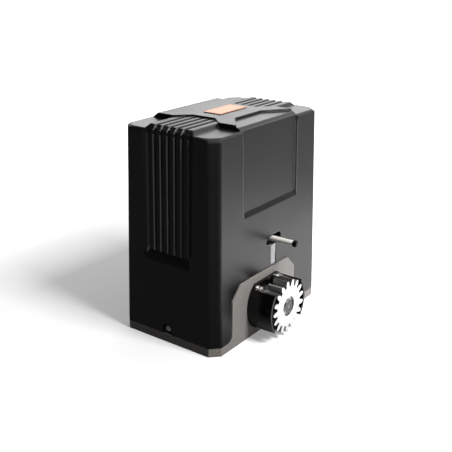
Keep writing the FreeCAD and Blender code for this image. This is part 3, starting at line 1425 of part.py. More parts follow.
def lever_hub():
    """Hub with the rod's socket in front and a cam for the two microswitches below."""
    hub = cylinder("hub_barrel", "size.hub_radius", f"size.hub_top - {HUB_FOOT}", (*PIVOT, HUB_FOOT))
    cam_disc = cylinder("cam_disc", "size.cam_radius", "size.cam_height", (*PIVOT, HUB_FOOT))
    behind = box(
        "cam_back",
        ("3 * size.cam_radius", "2 * size.cam_radius", "size.cam_height"),
        ("size.rod_x", "size.pivot_y - size.cam_start + size.cam_radius", HUB_FOOT),
    )
    cam = cut("cam", cam_disc, [behind])
    snout = box(
        "snout",
        ("size.snout_width", "size.snout_length", "size.slot_height"),
        ("size.rod_x", "size.pivot_y - size.snout_length / 2", "size.rod_z - size.slot_height / 2"),
    )
    bore = cylinder(
        "hub_bore", "size.pivot_diameter / 2 + size.pivot_play", "size.hub_top", (*PIVOT, "0")
    )
    socket = cylinder(
        "rod_socket", "size.rod_diameter / 2", "size.snout_length", ROD_START, "-Y"
    )
    return cut("lever_hub", join("hub_blank", [hub, cam, snout]), [bore, socket])


ROD_BACK = "(size.pivot_diameter / 2 + 2 * size.part_play - size.pivot_y)"
ROD_START = ("size.rod_x", f"-{ROD_BACK}", "size.rod_z")


def limit_rod():
    radius = "size.rod_diameter / 2"
    return turned("limit_rod", [
        ("0", ROD_BACK), (radius, ROD_BACK), (radius, "size.rod_front"), ("0", "size.rod_front"),
    ], ("size.rod_x", "0", "size.rod_z"), "-Y")


def rod_cap():
    radius = "size.cap_diameter / 2"
    start = "size.rod_front - size.cap_sleeve"
    return turned("rod_cap", [
        ("size.rod_diameter / 2", start), (radius, start), (radius, "size.cap_front - size.cap_round"),
        (f"{radius} - size.cap_round", "size.cap_front"), ("0", "size.cap_front"),
        ("0", "size.rod_front"), ("size.rod_diameter / 2", "size.rod_front"),
    ], ("size.rod_x", "0", "size.rod_z"), "-Y", {2: "size.cap_round"})


def centring_spring():
    """Torsion spring of square wire round the hub; its legs straddle the bracket's tab."""
    wire, radius = value("spring_wire"), number(COIL_RADIUS)
    turns, pitch = value("spring_turns"), value("spring_pitch")
    foot = number("size.rod_z + size.slot_height / 2") + 1
    half = wire / 2
    corners = [V(radius + sx * half, 0, foot + sz * half) for sx, sz in CORNERS]
    section = Part.makePolygon(corners + corners[:1])
    path = Part.makeHelix(pitch, turns * pitch, radius)
    path.translate(V(0, 0, foot))
    coil = Part.Wire(path.Edges).makePipeShell([section], True, True)
    coil.rotate(V(), V(0, 0, 1), 180)
    reach = value("hub_radius") + value("spring_reach")
    legs = [
        Part.makeBox(wire, reach, wire, V(-radius - half, 0, foot - half)),
        Part.makeBox(wire, reach, wire, V(radius - half, 0, foot + turns * pitch - half)),
    ]
    spring = doc.addObject("Part::Feature", "centring_spring")
    spring.Shape = coil.fuse(legs)
    return put(spring, (*PIVOT, "0"))


def microswitches():
    """Two switch bodies, their screws and their plungers, mirrored about the limit rod."""
    bodies, plungers = [], {}
    length = "(size.switch_width / 2 - 0.3)"
    for side, word, axis in ((-1, "left", "-X"), (1, "right", "X")):
        case = box(
            f"{word}_case",
            ("size.switch_width", "size.switch_depth", "size.switch_height"),
            (
                f"size.rod_x + {side} * (size.switch_distance + size.switch_width / 2)",
                "size.pivot_y",
                SHELF_TOP,
            ),
        )
        tip = f"size.rod_x + {side} * (size.cam_radius + size.part_play)"
        hole = cylinder(
            f"{word}_hole", "size.plunger_diameter / 2 + size.part_play",
            f"{length} + size.plunger_travel + 2 * size.part_play",
            (tip, "size.pivot_y", SWITCH_MIDDLE), axis,
        )
        screw_holes = [
            cylinder(f"{word}_screw_hole_{i}", "size.switch_screw / 2",
                     "size.switch_height", (x, y, SHELF_TOP))
            for i, (x, y) in enumerate(switch_screw_places()) if (i < 2) == (side == 1)
        ]
        bodies.append(cut(f"{word}_switch", case, [hole, *screw_holes]))
        radius = "size.plunger_diameter / 2"
        plungers[word] = turned(f"{word}_plunger", [
            ("0", "0"), (f"{radius} - 0.4", "0"), (radius, "0.4"), (radius, length), ("0", length),
        ], (tip, "size.pivot_y", SWITCH_MIDDLE), axis)
    screws = [
        pan_screw(f"switch_screw_{i}", (x, y, f"{SHELF_TOP} + size.switch_height"), "Z",
                  "size.switch_screw", "size.switch_height + size.sheet", "size.switch_head")
        for i, (x, y) in enumerate(switch_screw_places())
    ]
    return group("microswitches", bodies), plungers, group("switch_screws", screws)


# --------------------------------------------------------------------------------------------
# Control side
# --------------------------------------------------------------------------------------------
def board_corners():
    for sy in (1, -1):
        for sz in (1, -1):
            yield (
                f"{sy} * (size.board_width / 2 - size.board_margin)",
                f"{BOARD_MIDDLE} + {sz} * (size.board_height / 2 - size.board_margin)",
            )


def board_bracket():
    """Folded sheet that carries the control board upright."""
    body = new_body("board_bracket")
    back = BRACKET_X
    face = f"{back} - size.sheet"
    foot_end = BRACKET_END
    profile = new_sketch(body, "XZ")
    outline(profile, [
        (back, "size.base_height"), (back, "size.board_bracket_top"),
        (face, "size.board_bracket_top"), (face, "size.base_height + size.sheet"),
        (foot_end, "size.base_height + size.sheet"), (foot_end, "size.base_height"),
    ])
    pad(profile, "size.board_width", both=True)
    foot = new_sketch(body, "XY", "size.base_height + size.sheet")
    for x, y in board_screw_places():
        circle(foot, "size.small_screw / 2", x, y)
    pocket(foot, "size.sheet")
    holes = new_sketch(body, "YZ", back)
    for y, z in board_corners():
        circle(holes, "size.small_screw / 2", y, z)
    pocket(holes, "size.sheet")
    return body


def control_board():
    body = new_body("control_board")
    sketch = new_sketch(body, "YZ", BOARD_X)
    outline(sketch, rectangle(
        "-size.board_width / 2", "size.board_foot",
        "size.board_width / 2", "size.board_foot + size.board_height",
    ))
    for y, z in board_corners():
        circle(sketch, "size.small_screw / 2", y, z)
    pad(sketch, "size.board_thickness", back=True)
    return body


def board_fasteners():
    spacers, screws = [], []
    for i, (y, z) in enumerate(board_corners()):
        spacers.append(turned(f"board_spacer_{i}", ring_profile(
            "size.spacer_diameter / 2", "size.small_screw / 2", "0", "size.spacer_length"
        ), (BOARD_X, y, z), "X"))
        screws.append(pan_screw(
            f"board_screw_{i}", (BOARD_FACE, y, z), "-X", "size.small_screw",
            "size.board_thickness + size.spacer_length + size.sheet", "size.small_head",
        ))
    return group("board_spacers", spacers), group("board_screws", screws)


def bracket_screws():
    """Screws in the feet of the limit bracket, the board bracket and the transformer's strap."""
    feet = [(place, "size.gearbox_top", "size.shelf_screw_bite") for place in bracket_screw_places()]
    feet += [(place, "size.base_height", "size.foot_screw_bite") for place in board_screw_places()]
    feet += [(place, "size.base_height", "size.foot_screw_bite") for place in transformer_screw_places()]
    return group("bracket_screws", [
        pan_screw(f"bracket_screw_{i}", (x, y, f"{floor} + size.sheet"), "Z",
                  "size.small_screw", f"size.sheet + {bite}", "size.small_head")
        for i, ((x, y), floor, bite) in enumerate(feet)
    ])


def relays():
    blocks = []
    middle = (value("relay_number") - 1) / 2
    for i in range(int(value("relay_number"))):
        blocks.append(box(
            f"relay_{i}",
            ("size.relay_width", "size.relay_length", "size.relay_width"),
            (
                f"{BOARD_FACE} - size.relay_width / 2",
                f"({i - middle}) * (size.relay_length + size.relay_gap)",
                f"{BOARD_MIDDLE} - size.relay_width / 2",
            ),
        ))
    return group("relays", blocks)


def terminal_block():
    """Screw terminals along the board's lower edge, with a wire entry under each screw."""
    length = "(size.board_width - 2 * size.terminal_margin)"
    block = box(
        "terminal_blank",
        ("size.terminal_depth", length, "size.terminal_height"),
        (f"{BOARD_FACE} - size.terminal_depth / 2", "0", "size.board_foot + size.terminal_rise"),
    )
    count = int(value("terminal_number"))
    entries = [
        box(
            f"terminal_entry_{i}",
            ("size.terminal_depth / 2", "size.terminal_entry", "size.terminal_entry"),
            (
                f"{BOARD_FACE} - 3 * size.terminal_depth / 4",
                f"({i + 0.5 - count / 2}) * {length} / {count}",
                "size.board_foot + 2 * size.terminal_rise",
            ),
        )
        for i in range(count)
    ]
    return cut("terminal_block", block, entries)


TRANSFORMER_LEG = "(size.transformer_length * 0.15)"
WINDOW = f"(size.transformer_height - 2 * {TRANSFORMER_LEG} - size.sheet)"
WINDOW_FOOT = f"(size.base_height + {TRANSFORMER_LEG} + size.sheet / 2)"
COIL_LENGTH = f"(size.transformer_length - 2 * {TRANSFORMER_LEG})"


def transformer():
    """Laminated core, coil and the strap that holds them down."""
    place = (TRANSFORMER_X, "0", "size.base_height")
    block = box(
        "core_block",
        (CORE_DEPTH, "size.transformer_length", "size.transformer_height"),
        place,
    )
    leg = (f"2 * {CORE_DEPTH}", f"2 * {TRANSFORMER_LEG}", WINDOW)
    window = (f"2 * {CORE_DEPTH}", COIL_LENGTH, WINDOW)
    window_place = (TRANSFORMER_X, "0", WINDOW_FOOT)
    hollow = cut(
        "core_hollow", box("core_window", window, window_place), [box("core_leg", leg, window_place)]
    )
    core = cut("transformer_core", block, [hollow])
    winding = box("coil_block", (COIL_DEPTH, COIL_LENGTH, WINDOW), window_place)
    leg_hole = box(
        "coil_hole", (CORE_DEPTH, f"2 * {TRANSFORMER_LEG}", WINDOW), window_place
    )
    coil = cut("transformer_coil", winding, [leg_hole])
    strap = new_body("transformer_strap")
    half, sheet_end = "size.transformer_length / 2", "size.transformer_length / 2 + size.sheet"
    top = f"size.base_height + size.transformer_height"
    foot, end = "size.base_height", f"({half} + size.strap_foot)"
    sketch = new_sketch(strap, "YZ", f"{TRANSFORMER_X} - {CORE_DEPTH} / 3")
    outline(sketch, [
        (half, foot), (end, foot), (end, f"{foot} + size.sheet"),
        (sheet_end, f"{foot} + size.sheet"), (sheet_end, f"{top} + size.sheet"),
        (f"-({sheet_end})", f"{top} + size.sheet"), (f"-({sheet_end})", f"{foot} + size.sheet"),
        (f"-({end})", f"{foot} + size.sheet"), (f"-({end})", foot), (f"-({half})", foot),
        (f"-({half})", top), (half, top),
    ])
    pad(sketch, f"2 * {CORE_DEPTH} / 3")
    holes = new_sketch(strap, "XY", f"{foot} + size.sheet")
    for x, y in transformer_screw_places():
        circle(holes, "size.small_screw / 2", x, y)
    pocket(holes, "size.sheet")
    return core, coil, strap


def run_capacitor():
    radius = CAPACITOR_RADIUS
    top = "size.base_height + size.capacitor_height"
    return turned("run_capacitor", [
        ("0", "size.base_height"), (f"{radius} - 2", "size.base_height"),
        (radius, "size.base_height + 2"), (radius, f"{top} - 2"), (f"{radius} - 2", top),
        (f"{radius} - 5", top), (f"{radius} - 5", f"{top} - 1.5"), ("6", f"{top} - 1.5"),
        ("6", f"{top} + 5"), ("0", f"{top} + 5"),
    ], (CAPACITOR_X, "size.capacitor_y", "0"))


def capacitor_clamp():
    """Band round the capacitor with a strap that is screwed to the side of the motor flange."""
    radius = CAPACITOR_RADIUS
    foot = "(size.gearbox_top - size.flange_height)"
    middle = (CAPACITOR_X, "size.capacitor_y", foot)
    band = cylinder("band_outer", f"{radius} + size.sheet", "size.flange_height", middle)
    reach = f"({CAPACITOR_X} - {CLAMP_FACE})"
    ear = box("clamp_ear", (reach, "size.clamp_ear", "size.flange_height"),
              (f"{CLAMP_FACE} + {reach} / 2", "size.capacitor_y", foot))
    strap_y = "size.capacitor_y - (size.clamp_strap - size.clamp_ear) / 2"
    strap = box("clamp_strap", ("size.sheet", "size.clamp_strap", "size.flange_height"),
                (f"{CLAMP_FACE} + size.sheet / 2", strap_y, foot))
    hole = cylinder("clamp_hole", "size.small_screw / 2", "size.sheet",
                    (CLAMP_FACE, CLAMP_SCREW[1], CLAMP_SCREW[2]), "X")
    inside = cylinder("band_inner", radius, "size.flange_height", middle)
    return cut("capacitor_clamp", join("clamp_blank", [band, ear, strap]), [inside, hole])


def cable_grommet():
    hole, bore = "size.cable_hole / 2", "size.cable_bore / 2"
    return turned("cable_grommet", [
        (bore, "1"), (f"{bore} + 1", "0"), (hole, "0"), (hole, "size.base_height"),
        (f"{hole} + size.grommet_lip", "size.base_height"),
        (f"{hole} + size.grommet_lip", "size.base_height + size.grommet_lip"),
        (f"{bore} + 1", "size.base_height + size.grommet_lip"),
        (bore, "size.base_height + size.grommet_lip - 1"),
    ], (CABLE_X, "size.cable_y", "0"))


# --------------------------------------------------------------------------------------------
# Cover
# --------------------------------------------------------------------------------------------
END_FACE = f"(size.base_length / 2 + size.base_height * {LEAN})"
SIDE_FACE = f"({FRONT} + size.base_height * {LEAN})"
INSIDE_TOP = f"({SHELF} - size.wall)"
ABOVE = f"({PLATEAU} + size.plateau_rise)"


def end_face_at(height, depth):
    """Distance from the middle of a line sunk by a depth behind the leaning end face."""
    return f"(size.base_length / 2 - {LEAN} * ({height} - size.base_height) - {depth})"


def cover_levels(body, levels):
    sketches = []
    for height, shrink in levels:
        around = cut_rectangle(
            f"(size.base_length - 2 * ({shrink}))",
            f"(size.base_width - 2 * ({shrink}))",
            "size.corner_cut",
        )
        sketches.append(outline(new_sketch(body, "XY", height), around))
    return sketches


def mirrored(body, features, plane):
    """Repeat features on the other side of the body's YZ or XZ plane."""
    planes = {item.Role: item for item in body.Origin.OriginFeatures}
    feature = body.newObject("PartDesign::Mirrored", "mirrored")
    feature.Originals = features
    feature.MirrorPlane = (planes[f"{plane}_Plane"], [""])
    body.Tip = feature
    return feature


def cover_top(body):
    """Raised top with long bevels, a sunk front and a notch for the ribs at each end."""
    profile = new_sketch(body, "YZ")
    edge = "size.plateau_width / 2"
    foot = f"({FRONT} - size.side_taper - size.edge_bevel - size.plateau_margin)"
    outline(profile, [
        (f"-{foot}", f"{SHELF} - 0.5"), (foot, f"{SHELF} - 0.5"), (foot, SHELF),
        (edge, PLATEAU), (f"-({edge})", PLATEAU), (f"-{foot}", SHELF),
    ])
    pad(profile, "size.plateau_length", both=True)
    step = new_sketch(body, "XY", f"{PLATEAU} - size.step_depth")
    half, end = "size.step_length / 2", "size.plateau_length / 2"
    front = f"-{FRONT}"
    outline(step, [
        (half, "-size.step_back"), (f"-({half})", "-size.step_back"),
        (f"-({end})", "-size.step_reach"), (f"-({end})", front), (end, front),
        (end, "-size.step_reach"),
    ])
    pocket(step, "size.plateau_rise", forward=True)
    notch = new_sketch(body, "XY", SHELF)
    for side in ("", "-"):
        outline(notch, [
            (f"{side}size.notch_start", "size.notch_inner / 2"),
            (f"{side}size.notch_start", "-size.notch_inner / 2"),
            (f"{side}({end})", "-size.notch_outer / 2"),
            (f"{side}({end})", "size.notch_outer / 2"),
        ])
    pocket(notch, "2 * size.plateau_rise", forward=True)


def cover_inside(body):
    """Hollow that leaves the wall, and the thicker places behind recesses and pockets."""
    loft("Subtractive", cover_levels(
        body, [("size.base_height", "size.wall"), (INSIDE_TOP, "size.wall + size.side_taper")]
    ))
    under = new_sketch(body, "XY", INSIDE_TOP)
    half = "(size.notch_start - size.wall)"
    outline(under, rectangle(
        f"-{half}", "size.wall - size.step_back", half, "size.plateau_width / 2 - size.wall"
    ))
    pocket(under, "size.plateau_rise", forward=True)
    recess = new_sketch(body, "YZ", f"{END_FACE} - size.recess_depth - size.wall", LEAN_ANGLE)
    half = "(size.recess_width / 2)"
    low = "size.recess_bottom - size.wall"
    outline(recess, rectangle(f"-{half}", low, half, f"{SHELF} - size.wall / 2"))
    backing = pad(recess, "size.recess_depth + size.wall / 2")
    seat = new_sketch(body, "YZ", LUG_FACE)
    half = "(size.pocket_width / 2 + size.wall)"
    outline(seat, rectangle(
        f"-{half}", "size.base_height", half, f"size.cover_screw_height + {half}"
    ))
    seat_pad = pad(seat, "size.pocket_depth + size.wall / 2")
    mirrored(body, [backing, seat_pad], "YZ")
    panel = new_sketch(body, "XZ", f"{SIDE_FACE} - size.panel_depth - size.wall", LEAN_ANGLE)
    half = "(size.panel_length / 2 + size.wall)"
    low = "size.panel_bottom - size.wall"
    outline(panel, rectangle(f"-{half}", low, half, f"{SHELF} - size.wall / 2"))
    mirrored(body, [pad(panel, "size.panel_depth + size.wall / 2")], "XZ")


def sunk_field(body, plane, face, width, low, rise, depth, corner):
    """Field cut into a leaning face: slanted sides and foot, round lower corners, open at the top."""
    sketches = []
    for out in ("1", f"(0 - {depth})"):
        half = f"({width} / 2 + {out})"
        foot = f"({low} - {rise} / {depth} * {out})"
        sketch = new_sketch(body, plane, f"{face} + {out}", LEAN_ANGLE)
        sketches.append(outline(sketch, [
            (f"-({half} - {corner})", foot), (f"{half} - {corner}", foot), (half, f"{foot} + {corner}"),
            (half, ABOVE), (f"-{half}", ABOVE), (f"-{half}", f"{foot} + {corner}"),
        ], {1: corner, 5: corner}))
    return loft("Subtractive", sketches)


def cover_ribs(body):
    """Recess in each end with ribs that run over the shelf and down the end."""
    recess = sunk_field(
        body, "YZ", END_FACE, "size.recess_width", "size.recess_bottom", "size.recess_rise",
        "size.recess_depth", "size.recess_round",
    )
    mirrored(body, [recess], "YZ")
    field = "((size.rib_number - 1) * size.rib_pitch / 2 + size.rib_width / 2)"
    flank = new_sketch(body, "YZ", "size.notch_start")
    for side in ("", "-"):
        outline(flank, [
            (f"{side}({field} - 1)", f"{SHELF} - 1"),
            (f"{side}({field} - 1)", RIB_TOP),
            (f"{side}({field} + size.block_flat)", RIB_TOP),
            (f"{side}({field} + size.block_flat + size.block_slope)", SHELF),
            (f"{side}({field} + size.block_flat + size.block_slope)", f"{SHELF} - 1"),
        ])
    block_end = end_face_at(SHELF, "size.rib_sunk")
    mirrored(body, [pad(flank, f"{block_end} - size.notch_start")], "YZ")
    turn_low = f"({RIB_TOP} - size.rib_bevel)"
    inside = "(size.recess_depth + size.wall / 2)"
    bevel = new_sketch(body, "XZ")
    for side in ("", "-"):
        outline(bevel, [
            (f"{side}({end_face_at(turn_low, 'size.rib_sunk')} - size.rib_bevel)", RIB_TOP),
            (f"{side}{end_face_at(turn_low, 'size.rib_sunk')}", turn_low),
            (f"{side}{end_face_at(turn_low, 'size.rib_sunk')}", RIB_TOP),
        ])
    pocket(bevel, f"2 * ({field} + size.block_flat + size.block_slope)", both=True)
    first_ribs = []
    for side in ("", "-"):
        sections = []
        for across, less in ((-1, 1), (-1, 0), (1, 0), (1, 1)):
            shrink = f"{less} * size.rib_chamfer"
            edge = f"{across} * (size.rib_width / 2 - {1 - less} * size.rib_chamfer)"
            turn = f"({turn_low} - {CORNER_GROWTH} * {shrink})"
            face_low = end_face_at("size.rib_foot", f"(size.rib_sunk + {shrink})")
            face_high = end_face_at(turn, f"(size.rib_sunk + {shrink})")
            rib = new_sketch(body, "XZ", f"(size.rib_number - 1) * size.rib_pitch / 2 + {edge}")
            sections.append(outline(rib, [
                (f"{side}{face_low}", "size.rib_foot"),
                (f"{side}{face_high}", turn),
                (f"{side}({face_high} - size.rib_bevel + {shrink} - {CORNER_GROWTH} * {shrink})",
                 f"{RIB_TOP} - {shrink}"),
                (f"{side}size.notch_start", f"{RIB_TOP} - {shrink}"),
                (f"{side}size.notch_start", f"{SHELF} - size.wall / 2"),
                (f"{side}{end_face_at(SHELF, inside)}", f"{SHELF} - size.wall / 2"),
                (f"{side}{end_face_at('size.rib_foot', inside)}", "size.rib_foot"),
            ]))
        first_ribs.append(loft("Additive", sections))
    axes = {item.Role: item for item in body.Origin.OriginFeatures}
    pattern = body.newObject("PartDesign::LinearPattern", "ribs")
    pattern.Originals = first_ribs
    pattern.Direction = (axes["Y_Axis"], [""])
    pattern.setExpression("Length", "(size.rib_number - 1) * size.rib_pitch")
    pattern.setExpression("Occurrences", "size.rib_number")
    body.Tip = pattern


def cover():
    body = new_body("cover")
    loft("Additive", cover_levels(body, [
        ("size.base_height", "0"),
        ("size.side_top", "size.side_taper"),
        (SHELF, "size.side_taper + size.edge_bevel"),
    ]))
    cover_top(body)
    cover_inside(body)
    cover_ribs(body)
    panel = sunk_field(
        body, "XZ", SIDE_FACE, "size.panel_length", "size.panel_bottom", "size.panel_slope",
        "size.panel_depth", "size.panel_round",
    )
    mirrored(body, [panel], "XZ")

    # cut-out round the front plate, and the T-shaped slot of the limit rod
    depth = "(size.plate_depth / 2 + size.wall)"
    pocket(draw_plate(new_sketch(body, "XZ", FRONT), "size.plate_gap"), depth)
    swing = new_sketch(body, "XZ", FRONT)
    reach = "(size.slot_length - size.slot_height) / 2"
    slot(
        swing,
        (f"size.rod_x - {reach}", "size.rod_z"),
        (f"size.rod_x + {reach}", "size.rod_z"),
        "size.slot_height / 2",
    )
    pocket(swing, depth)
    stem = new_sketch(body, "XZ", FRONT)
    outline(stem, rectangle(
        "size.rod_x - size.stem_width / 2", "size.plate_top - 1",
        "size.rod_x + size.stem_width / 2", "size.rod_z",
    ))
    pocket(stem, depth)

    # screw pockets at the foot of both ends
    hollow = new_sketch(body, "YZ", "size.base_length / 2")
    slot(hollow, ("0", "0"), ("0", "size.cover_screw_height"), "size.pocket_width / 2")
    hollow_cut = pocket(hollow, "size.pocket_depth")
    hole = new_sketch(body, "YZ", "size.base_length / 2")
    circle(hole, "size.cover_screw_diameter / 2 + size.part_play", "0", "size.cover_screw_height")
    hole_cut = pocket(hole, "size.pocket_depth + size.wall")
    mirrored(body, [hollow_cut, hole_cut], "YZ")
    return body


def cover_screws():
    seat = "(size.base_length / 2 - size.pocket_depth)"
    return group("cover_screws", [
        pan_screw(
            f"cover_screw_{i}", (f"{sign} * {seat}", "0", "size.cover_screw_height"), axis,
            "size.cover_screw_diameter", "size.wall + size.lug_depth - 1", "size.cover_screw_head",
        )
        for i, (sign, axis) in enumerate(((1, "X"), (-1, "-X")))
    ])


def label_plate():
    body = new_body("label_plate")
    around = cut_rectangle(
        "size.label_length", "size.label_width", "size.label_corner", "size.label_x", "size.label_y"
    )
    pad(outline(new_sketch(body, "XY", PLATEAU), around), "size.label_thickness")
    return body


# --------------------------------------------------------------------------------------------
# Assembly and export
# --------------------------------------------------------------------------------------------
def build_all():
    node(base_casting())
    node(flat_disc("gearbox_gasket", "size.chamber_back", COVER_FRONT, CHAMBER_RADIUS))
    node(gearbox_cover())
    node(group("gearbox_screws", [
        socket_screw(f"gearbox_screw_{i}", (x, COVER_BACK, z), "Y", "size.rear_screw_diameter",
                     "size.rear_cover + size.gasket + size.rear_screw_bite", "size.m5_head",
                     "size.rear_screw_diameter")
        for i, (x, z) in enumerate(rear_screw_places())
    ]))
    node(group("output_bearing_outers", [
        bearing_outer("front_outer", "output", f"-{BEARING_BACK} - size.output_bearing_width",
                      OUTPUT, "Y"),
        bearing_outer("rear_outer", "output", HUB_BACK, OUTPUT, "Y"),
    ]))
    node(group("output_bearing_inners", [
        bearing_inner("front_inner", "output", f"-{BEARING_BACK} - size.output_bearing_width",
                      OUTPUT, "Y"),
        bearing_inner("rear_inner", "output", HUB_BACK, OUTPUT, "Y"),
    ]))
    node(output_seal())
    node(output_shaft())
    node(key("key", True))
    node(key("key", False))
    node(retaining_ring())
    node(drive_pinion())
    node(worm_wheel())
    node(spacer_sleeve())
    node(pinion_guard())
    for fastener in guard_fasteners():
        node(fastener)

    node(group("worm_bearing_outers", [
        bearing_outer("lower_outer", "lower", "size.lower_bearing_foot", MOTOR),
        bearing_outer("upper_outer", "upper", "size.upper_bearing_foot", MOTOR),
        bearing_outer("top_outer", "top", TOP_BEARING_FOOT, MOTOR),
    ]))
    node(group("worm_bearing_inners", [
        bearing_inner("lower_inner", "lower", "size.lower_bearing_foot", MOTOR),
        bearing_inner("upper_inner", "upper", "size.upper_bearing_foot", MOTOR),
        bearing_inner("top_inner", "top", TOP_BEARING_FOOT, MOTOR),
    ]))
    node(worm_seal())
    node(worm_shaft())
    node(rotor_core())
    node(lower_shield())
    node(stator_core())
    node(windings())
    node(upper_shield())
    node(tie_bolts())

    node(limit_bracket())
    node(pivot_pin())
    node(lever_hub())
    node(limit_rod())
    node(rod_cap())
    node(centring_spring())
    switches, plungers, screws = microswitches()
    node(switches)
    node(plungers["left"])
    node(plungers["right"])
    node(screws)

    node(board_bracket())
    node(control_board())
    for fastener in board_fasteners():
        node(fastener)
    node(bracket_screws())
    node(relays())
    node(terminal_block())
    for piece in transformer():
        node(piece)
    node(run_capacitor())
    node(capacitor_clamp())
    node(pan_screw("clamp_screw", CLAMP_SCREW, "X", "size.small_screw",
                   "size.sheet + size.clamp_screw_bite", "size.small_head"))
    node(cable_grommet())

    node(cover())
    node(cover_screws())
    node(label_plate())


def export_all():
    doc.recompute()
    for item in doc.Objects:
        if {"Invalid", "Error"} & set(item.State):
            raise RuntimeError(f"{item.Label} was not built: {item.State}")
    for thing in NODES:
        shape = thing.Shape
        if shape.isNull() or not shape.isValid() or not shape.Solids:
            raise RuntimeError(f"{thing.Label} is not a valid solid")
    os.makedirs("parts", exist_ok=True)
    for thing in NODES:
        thing.Shape.exportStep(f"parts/{thing.Label}.step")


build_all()
export_all()
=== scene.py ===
# %% [markdown]
# # A sliding gate motor, dressed for its portrait
#
# The motor's shapes were built in CAD: a cast base, a black moulded cover with ribbed ends, a toothed
# drive pinion in its guard and a limit rod that swings in a T-shaped slot. This lesson gives those
# shapes their surfaces and sets up floor, lamps and camera. It adds no pieces of its own.
# Everything is in metres: +Z is up, the pinion looks towards -Y and the ribbed ends face +X and -X.

# %% Load the CAD model as a fixed frame
from collections import namedtuple

import bpy
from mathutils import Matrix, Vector


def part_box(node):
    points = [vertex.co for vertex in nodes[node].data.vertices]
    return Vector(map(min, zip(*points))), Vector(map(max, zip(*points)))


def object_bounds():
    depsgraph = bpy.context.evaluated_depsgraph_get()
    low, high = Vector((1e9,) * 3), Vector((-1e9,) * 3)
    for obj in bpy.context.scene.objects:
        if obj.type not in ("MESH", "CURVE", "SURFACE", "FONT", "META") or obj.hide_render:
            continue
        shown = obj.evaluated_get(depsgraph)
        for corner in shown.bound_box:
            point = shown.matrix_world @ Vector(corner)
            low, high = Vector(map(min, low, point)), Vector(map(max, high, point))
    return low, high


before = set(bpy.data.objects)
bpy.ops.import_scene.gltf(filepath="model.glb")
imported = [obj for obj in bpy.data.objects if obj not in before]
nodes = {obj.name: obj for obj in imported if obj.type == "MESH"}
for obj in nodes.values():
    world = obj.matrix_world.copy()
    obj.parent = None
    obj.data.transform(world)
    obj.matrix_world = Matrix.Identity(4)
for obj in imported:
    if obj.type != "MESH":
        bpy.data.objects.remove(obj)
cad_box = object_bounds()

# %% Name the places that later cells build on
MM = 0.001
low, high = (Vector(corner) for corner in cad_box)
cover_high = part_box("cover")[1]
label_low, label_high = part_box("label_plate")
cover_end = cover_high.x - 30 * MM       # further out along X a point belongs to an end's corners
cover_side = cover_high.y - 30 * MM      # the same along Y
cover_rim = cover_high.z - 15 * MM       # above this the cover's walls turn into its top
rib_start = cover_high.x - 20 * MM       # the ribs lie further out along X
rib_reach = 36 * MM                      # and no further than this from the middle along Y


def centre_of(name):
    """Middle of a CAD node's box."""
    near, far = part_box(name)
    return ((near + far) / 2).to_tuple()


print("the whole motor measures", [round((b - a) / MM) for a, b in zip(low, high)], "mm")

# %% [markdown]
# ## Camera
#
# The camera looks down at the left end and the front from about a metre away. A lens near 60 mm keeps
# the upright edges almost parallel, as product views like them, and the camera stays level.

# %% Set the camera
bpy.ops.object.camera_add(location=(-0.8122, -0.5892, 0.5027), rotation=(1.215, -0.006, -0.943))
camera = bpy.context.object
camera.name = "portrait_camera"
camera.data.lens = 59.46
camera.data.sensor_width = 36
camera.data.clip_end = 100
bpy.context.scene.camera = camera
bpy.context.scene.view_settings.view_transform = "Standard"
print("camera at", [round(v, 2) for v in camera.location])

# %% [markdown]
# ## Wiring nodes
#
# All materials here are node trees wired by code. A few helpers keep that short: sums, ramps and the
# questions that shaders ask most, such as where a point lies and which way its surface looks.

# %% Write helpers that wire numbers and vectors
def calculate(tree, kind, first, second=None, clamp=False):
    """A Math node whose inputs are sockets or plain numbers."""
    node = tree.nodes.new("ShaderNodeMath")
    node.operation = kind
    node.use_clamp = clamp
    for socket, given in zip(node.inputs, (first, second)):
        if given is None:
            continue
        if isinstance(given, (int, float)):
            socket.default_value = given
        else:
            tree.links.new(given, socket)
    return node.outputs[0]


def between(tree, first, second, share):
    """Run from the first value to the second as a share runs from zero to one."""
    gain = calculate(tree, "SUBTRACT", second, first)
    return calculate(tree, "ADD", first, calculate(tree, "MULTIPLY", share, gain))


def ramp(tree, source, start, end, first=0.0, last=1.0, smooth=True):
    """The first value until a source reaches start, the last value from end on, a rise in between."""
    node = tree.nodes.new("ShaderNodeMapRange")
    if smooth:
        node.interpolation_type = "SMOOTHSTEP"
    for key, amount in (("From Min", start), ("From Max", end), ("To Min", first), ("To Max", last)):
        node.inputs[key].default_value = amount
    tree.links.new(source, node.inputs["Value"])
    return node.outputs["Result"]


def dot_product(tree, first, second):
    """Cosine between two directions; the second is a socket or a fixed vector."""
    node = tree.nodes.new("ShaderNodeVectorMath")
    node.operation = "DOT_PRODUCT"
    tree.links.new(first, node.inputs[0])
    if isinstance(second, Vector):
        node.inputs[1].default_value = second
    else:
        tree.links.new(second, node.inputs[1])
    return node.outputs["Value"]


def split(tree, vector):
    """The X, Y and Z of a vector, by letter."""
    node = tree.nodes.new("ShaderNodeSeparateXYZ")
    tree.links.new(vector, node.inputs[0])
    return node.outputs


def object_place(tree):
    """Where a point lies, in metres."""
    return tree.nodes.new("ShaderNodeTexCoord").outputs["Object"]


def true_normal(tree):
    """Which way the surface itself looks, before any rounding or relief."""
    return tree.nodes.new("ShaderNodeNewGeometry").outputs["True Normal"]


def seen_rays(tree):
    """One for camera, mirror and clear rays, which look at the surroundings; zero for soft light."""
    path = tree.nodes.new("ShaderNodeLightPath")
    two = calculate(tree, "ADD", path.outputs["Is Camera Ray"], path.outputs["Is Glossy Ray"])
    return calculate(tree, "ADD", two, path.outputs["Is Transmission Ray"], clamp=True)


print("node helpers ready")

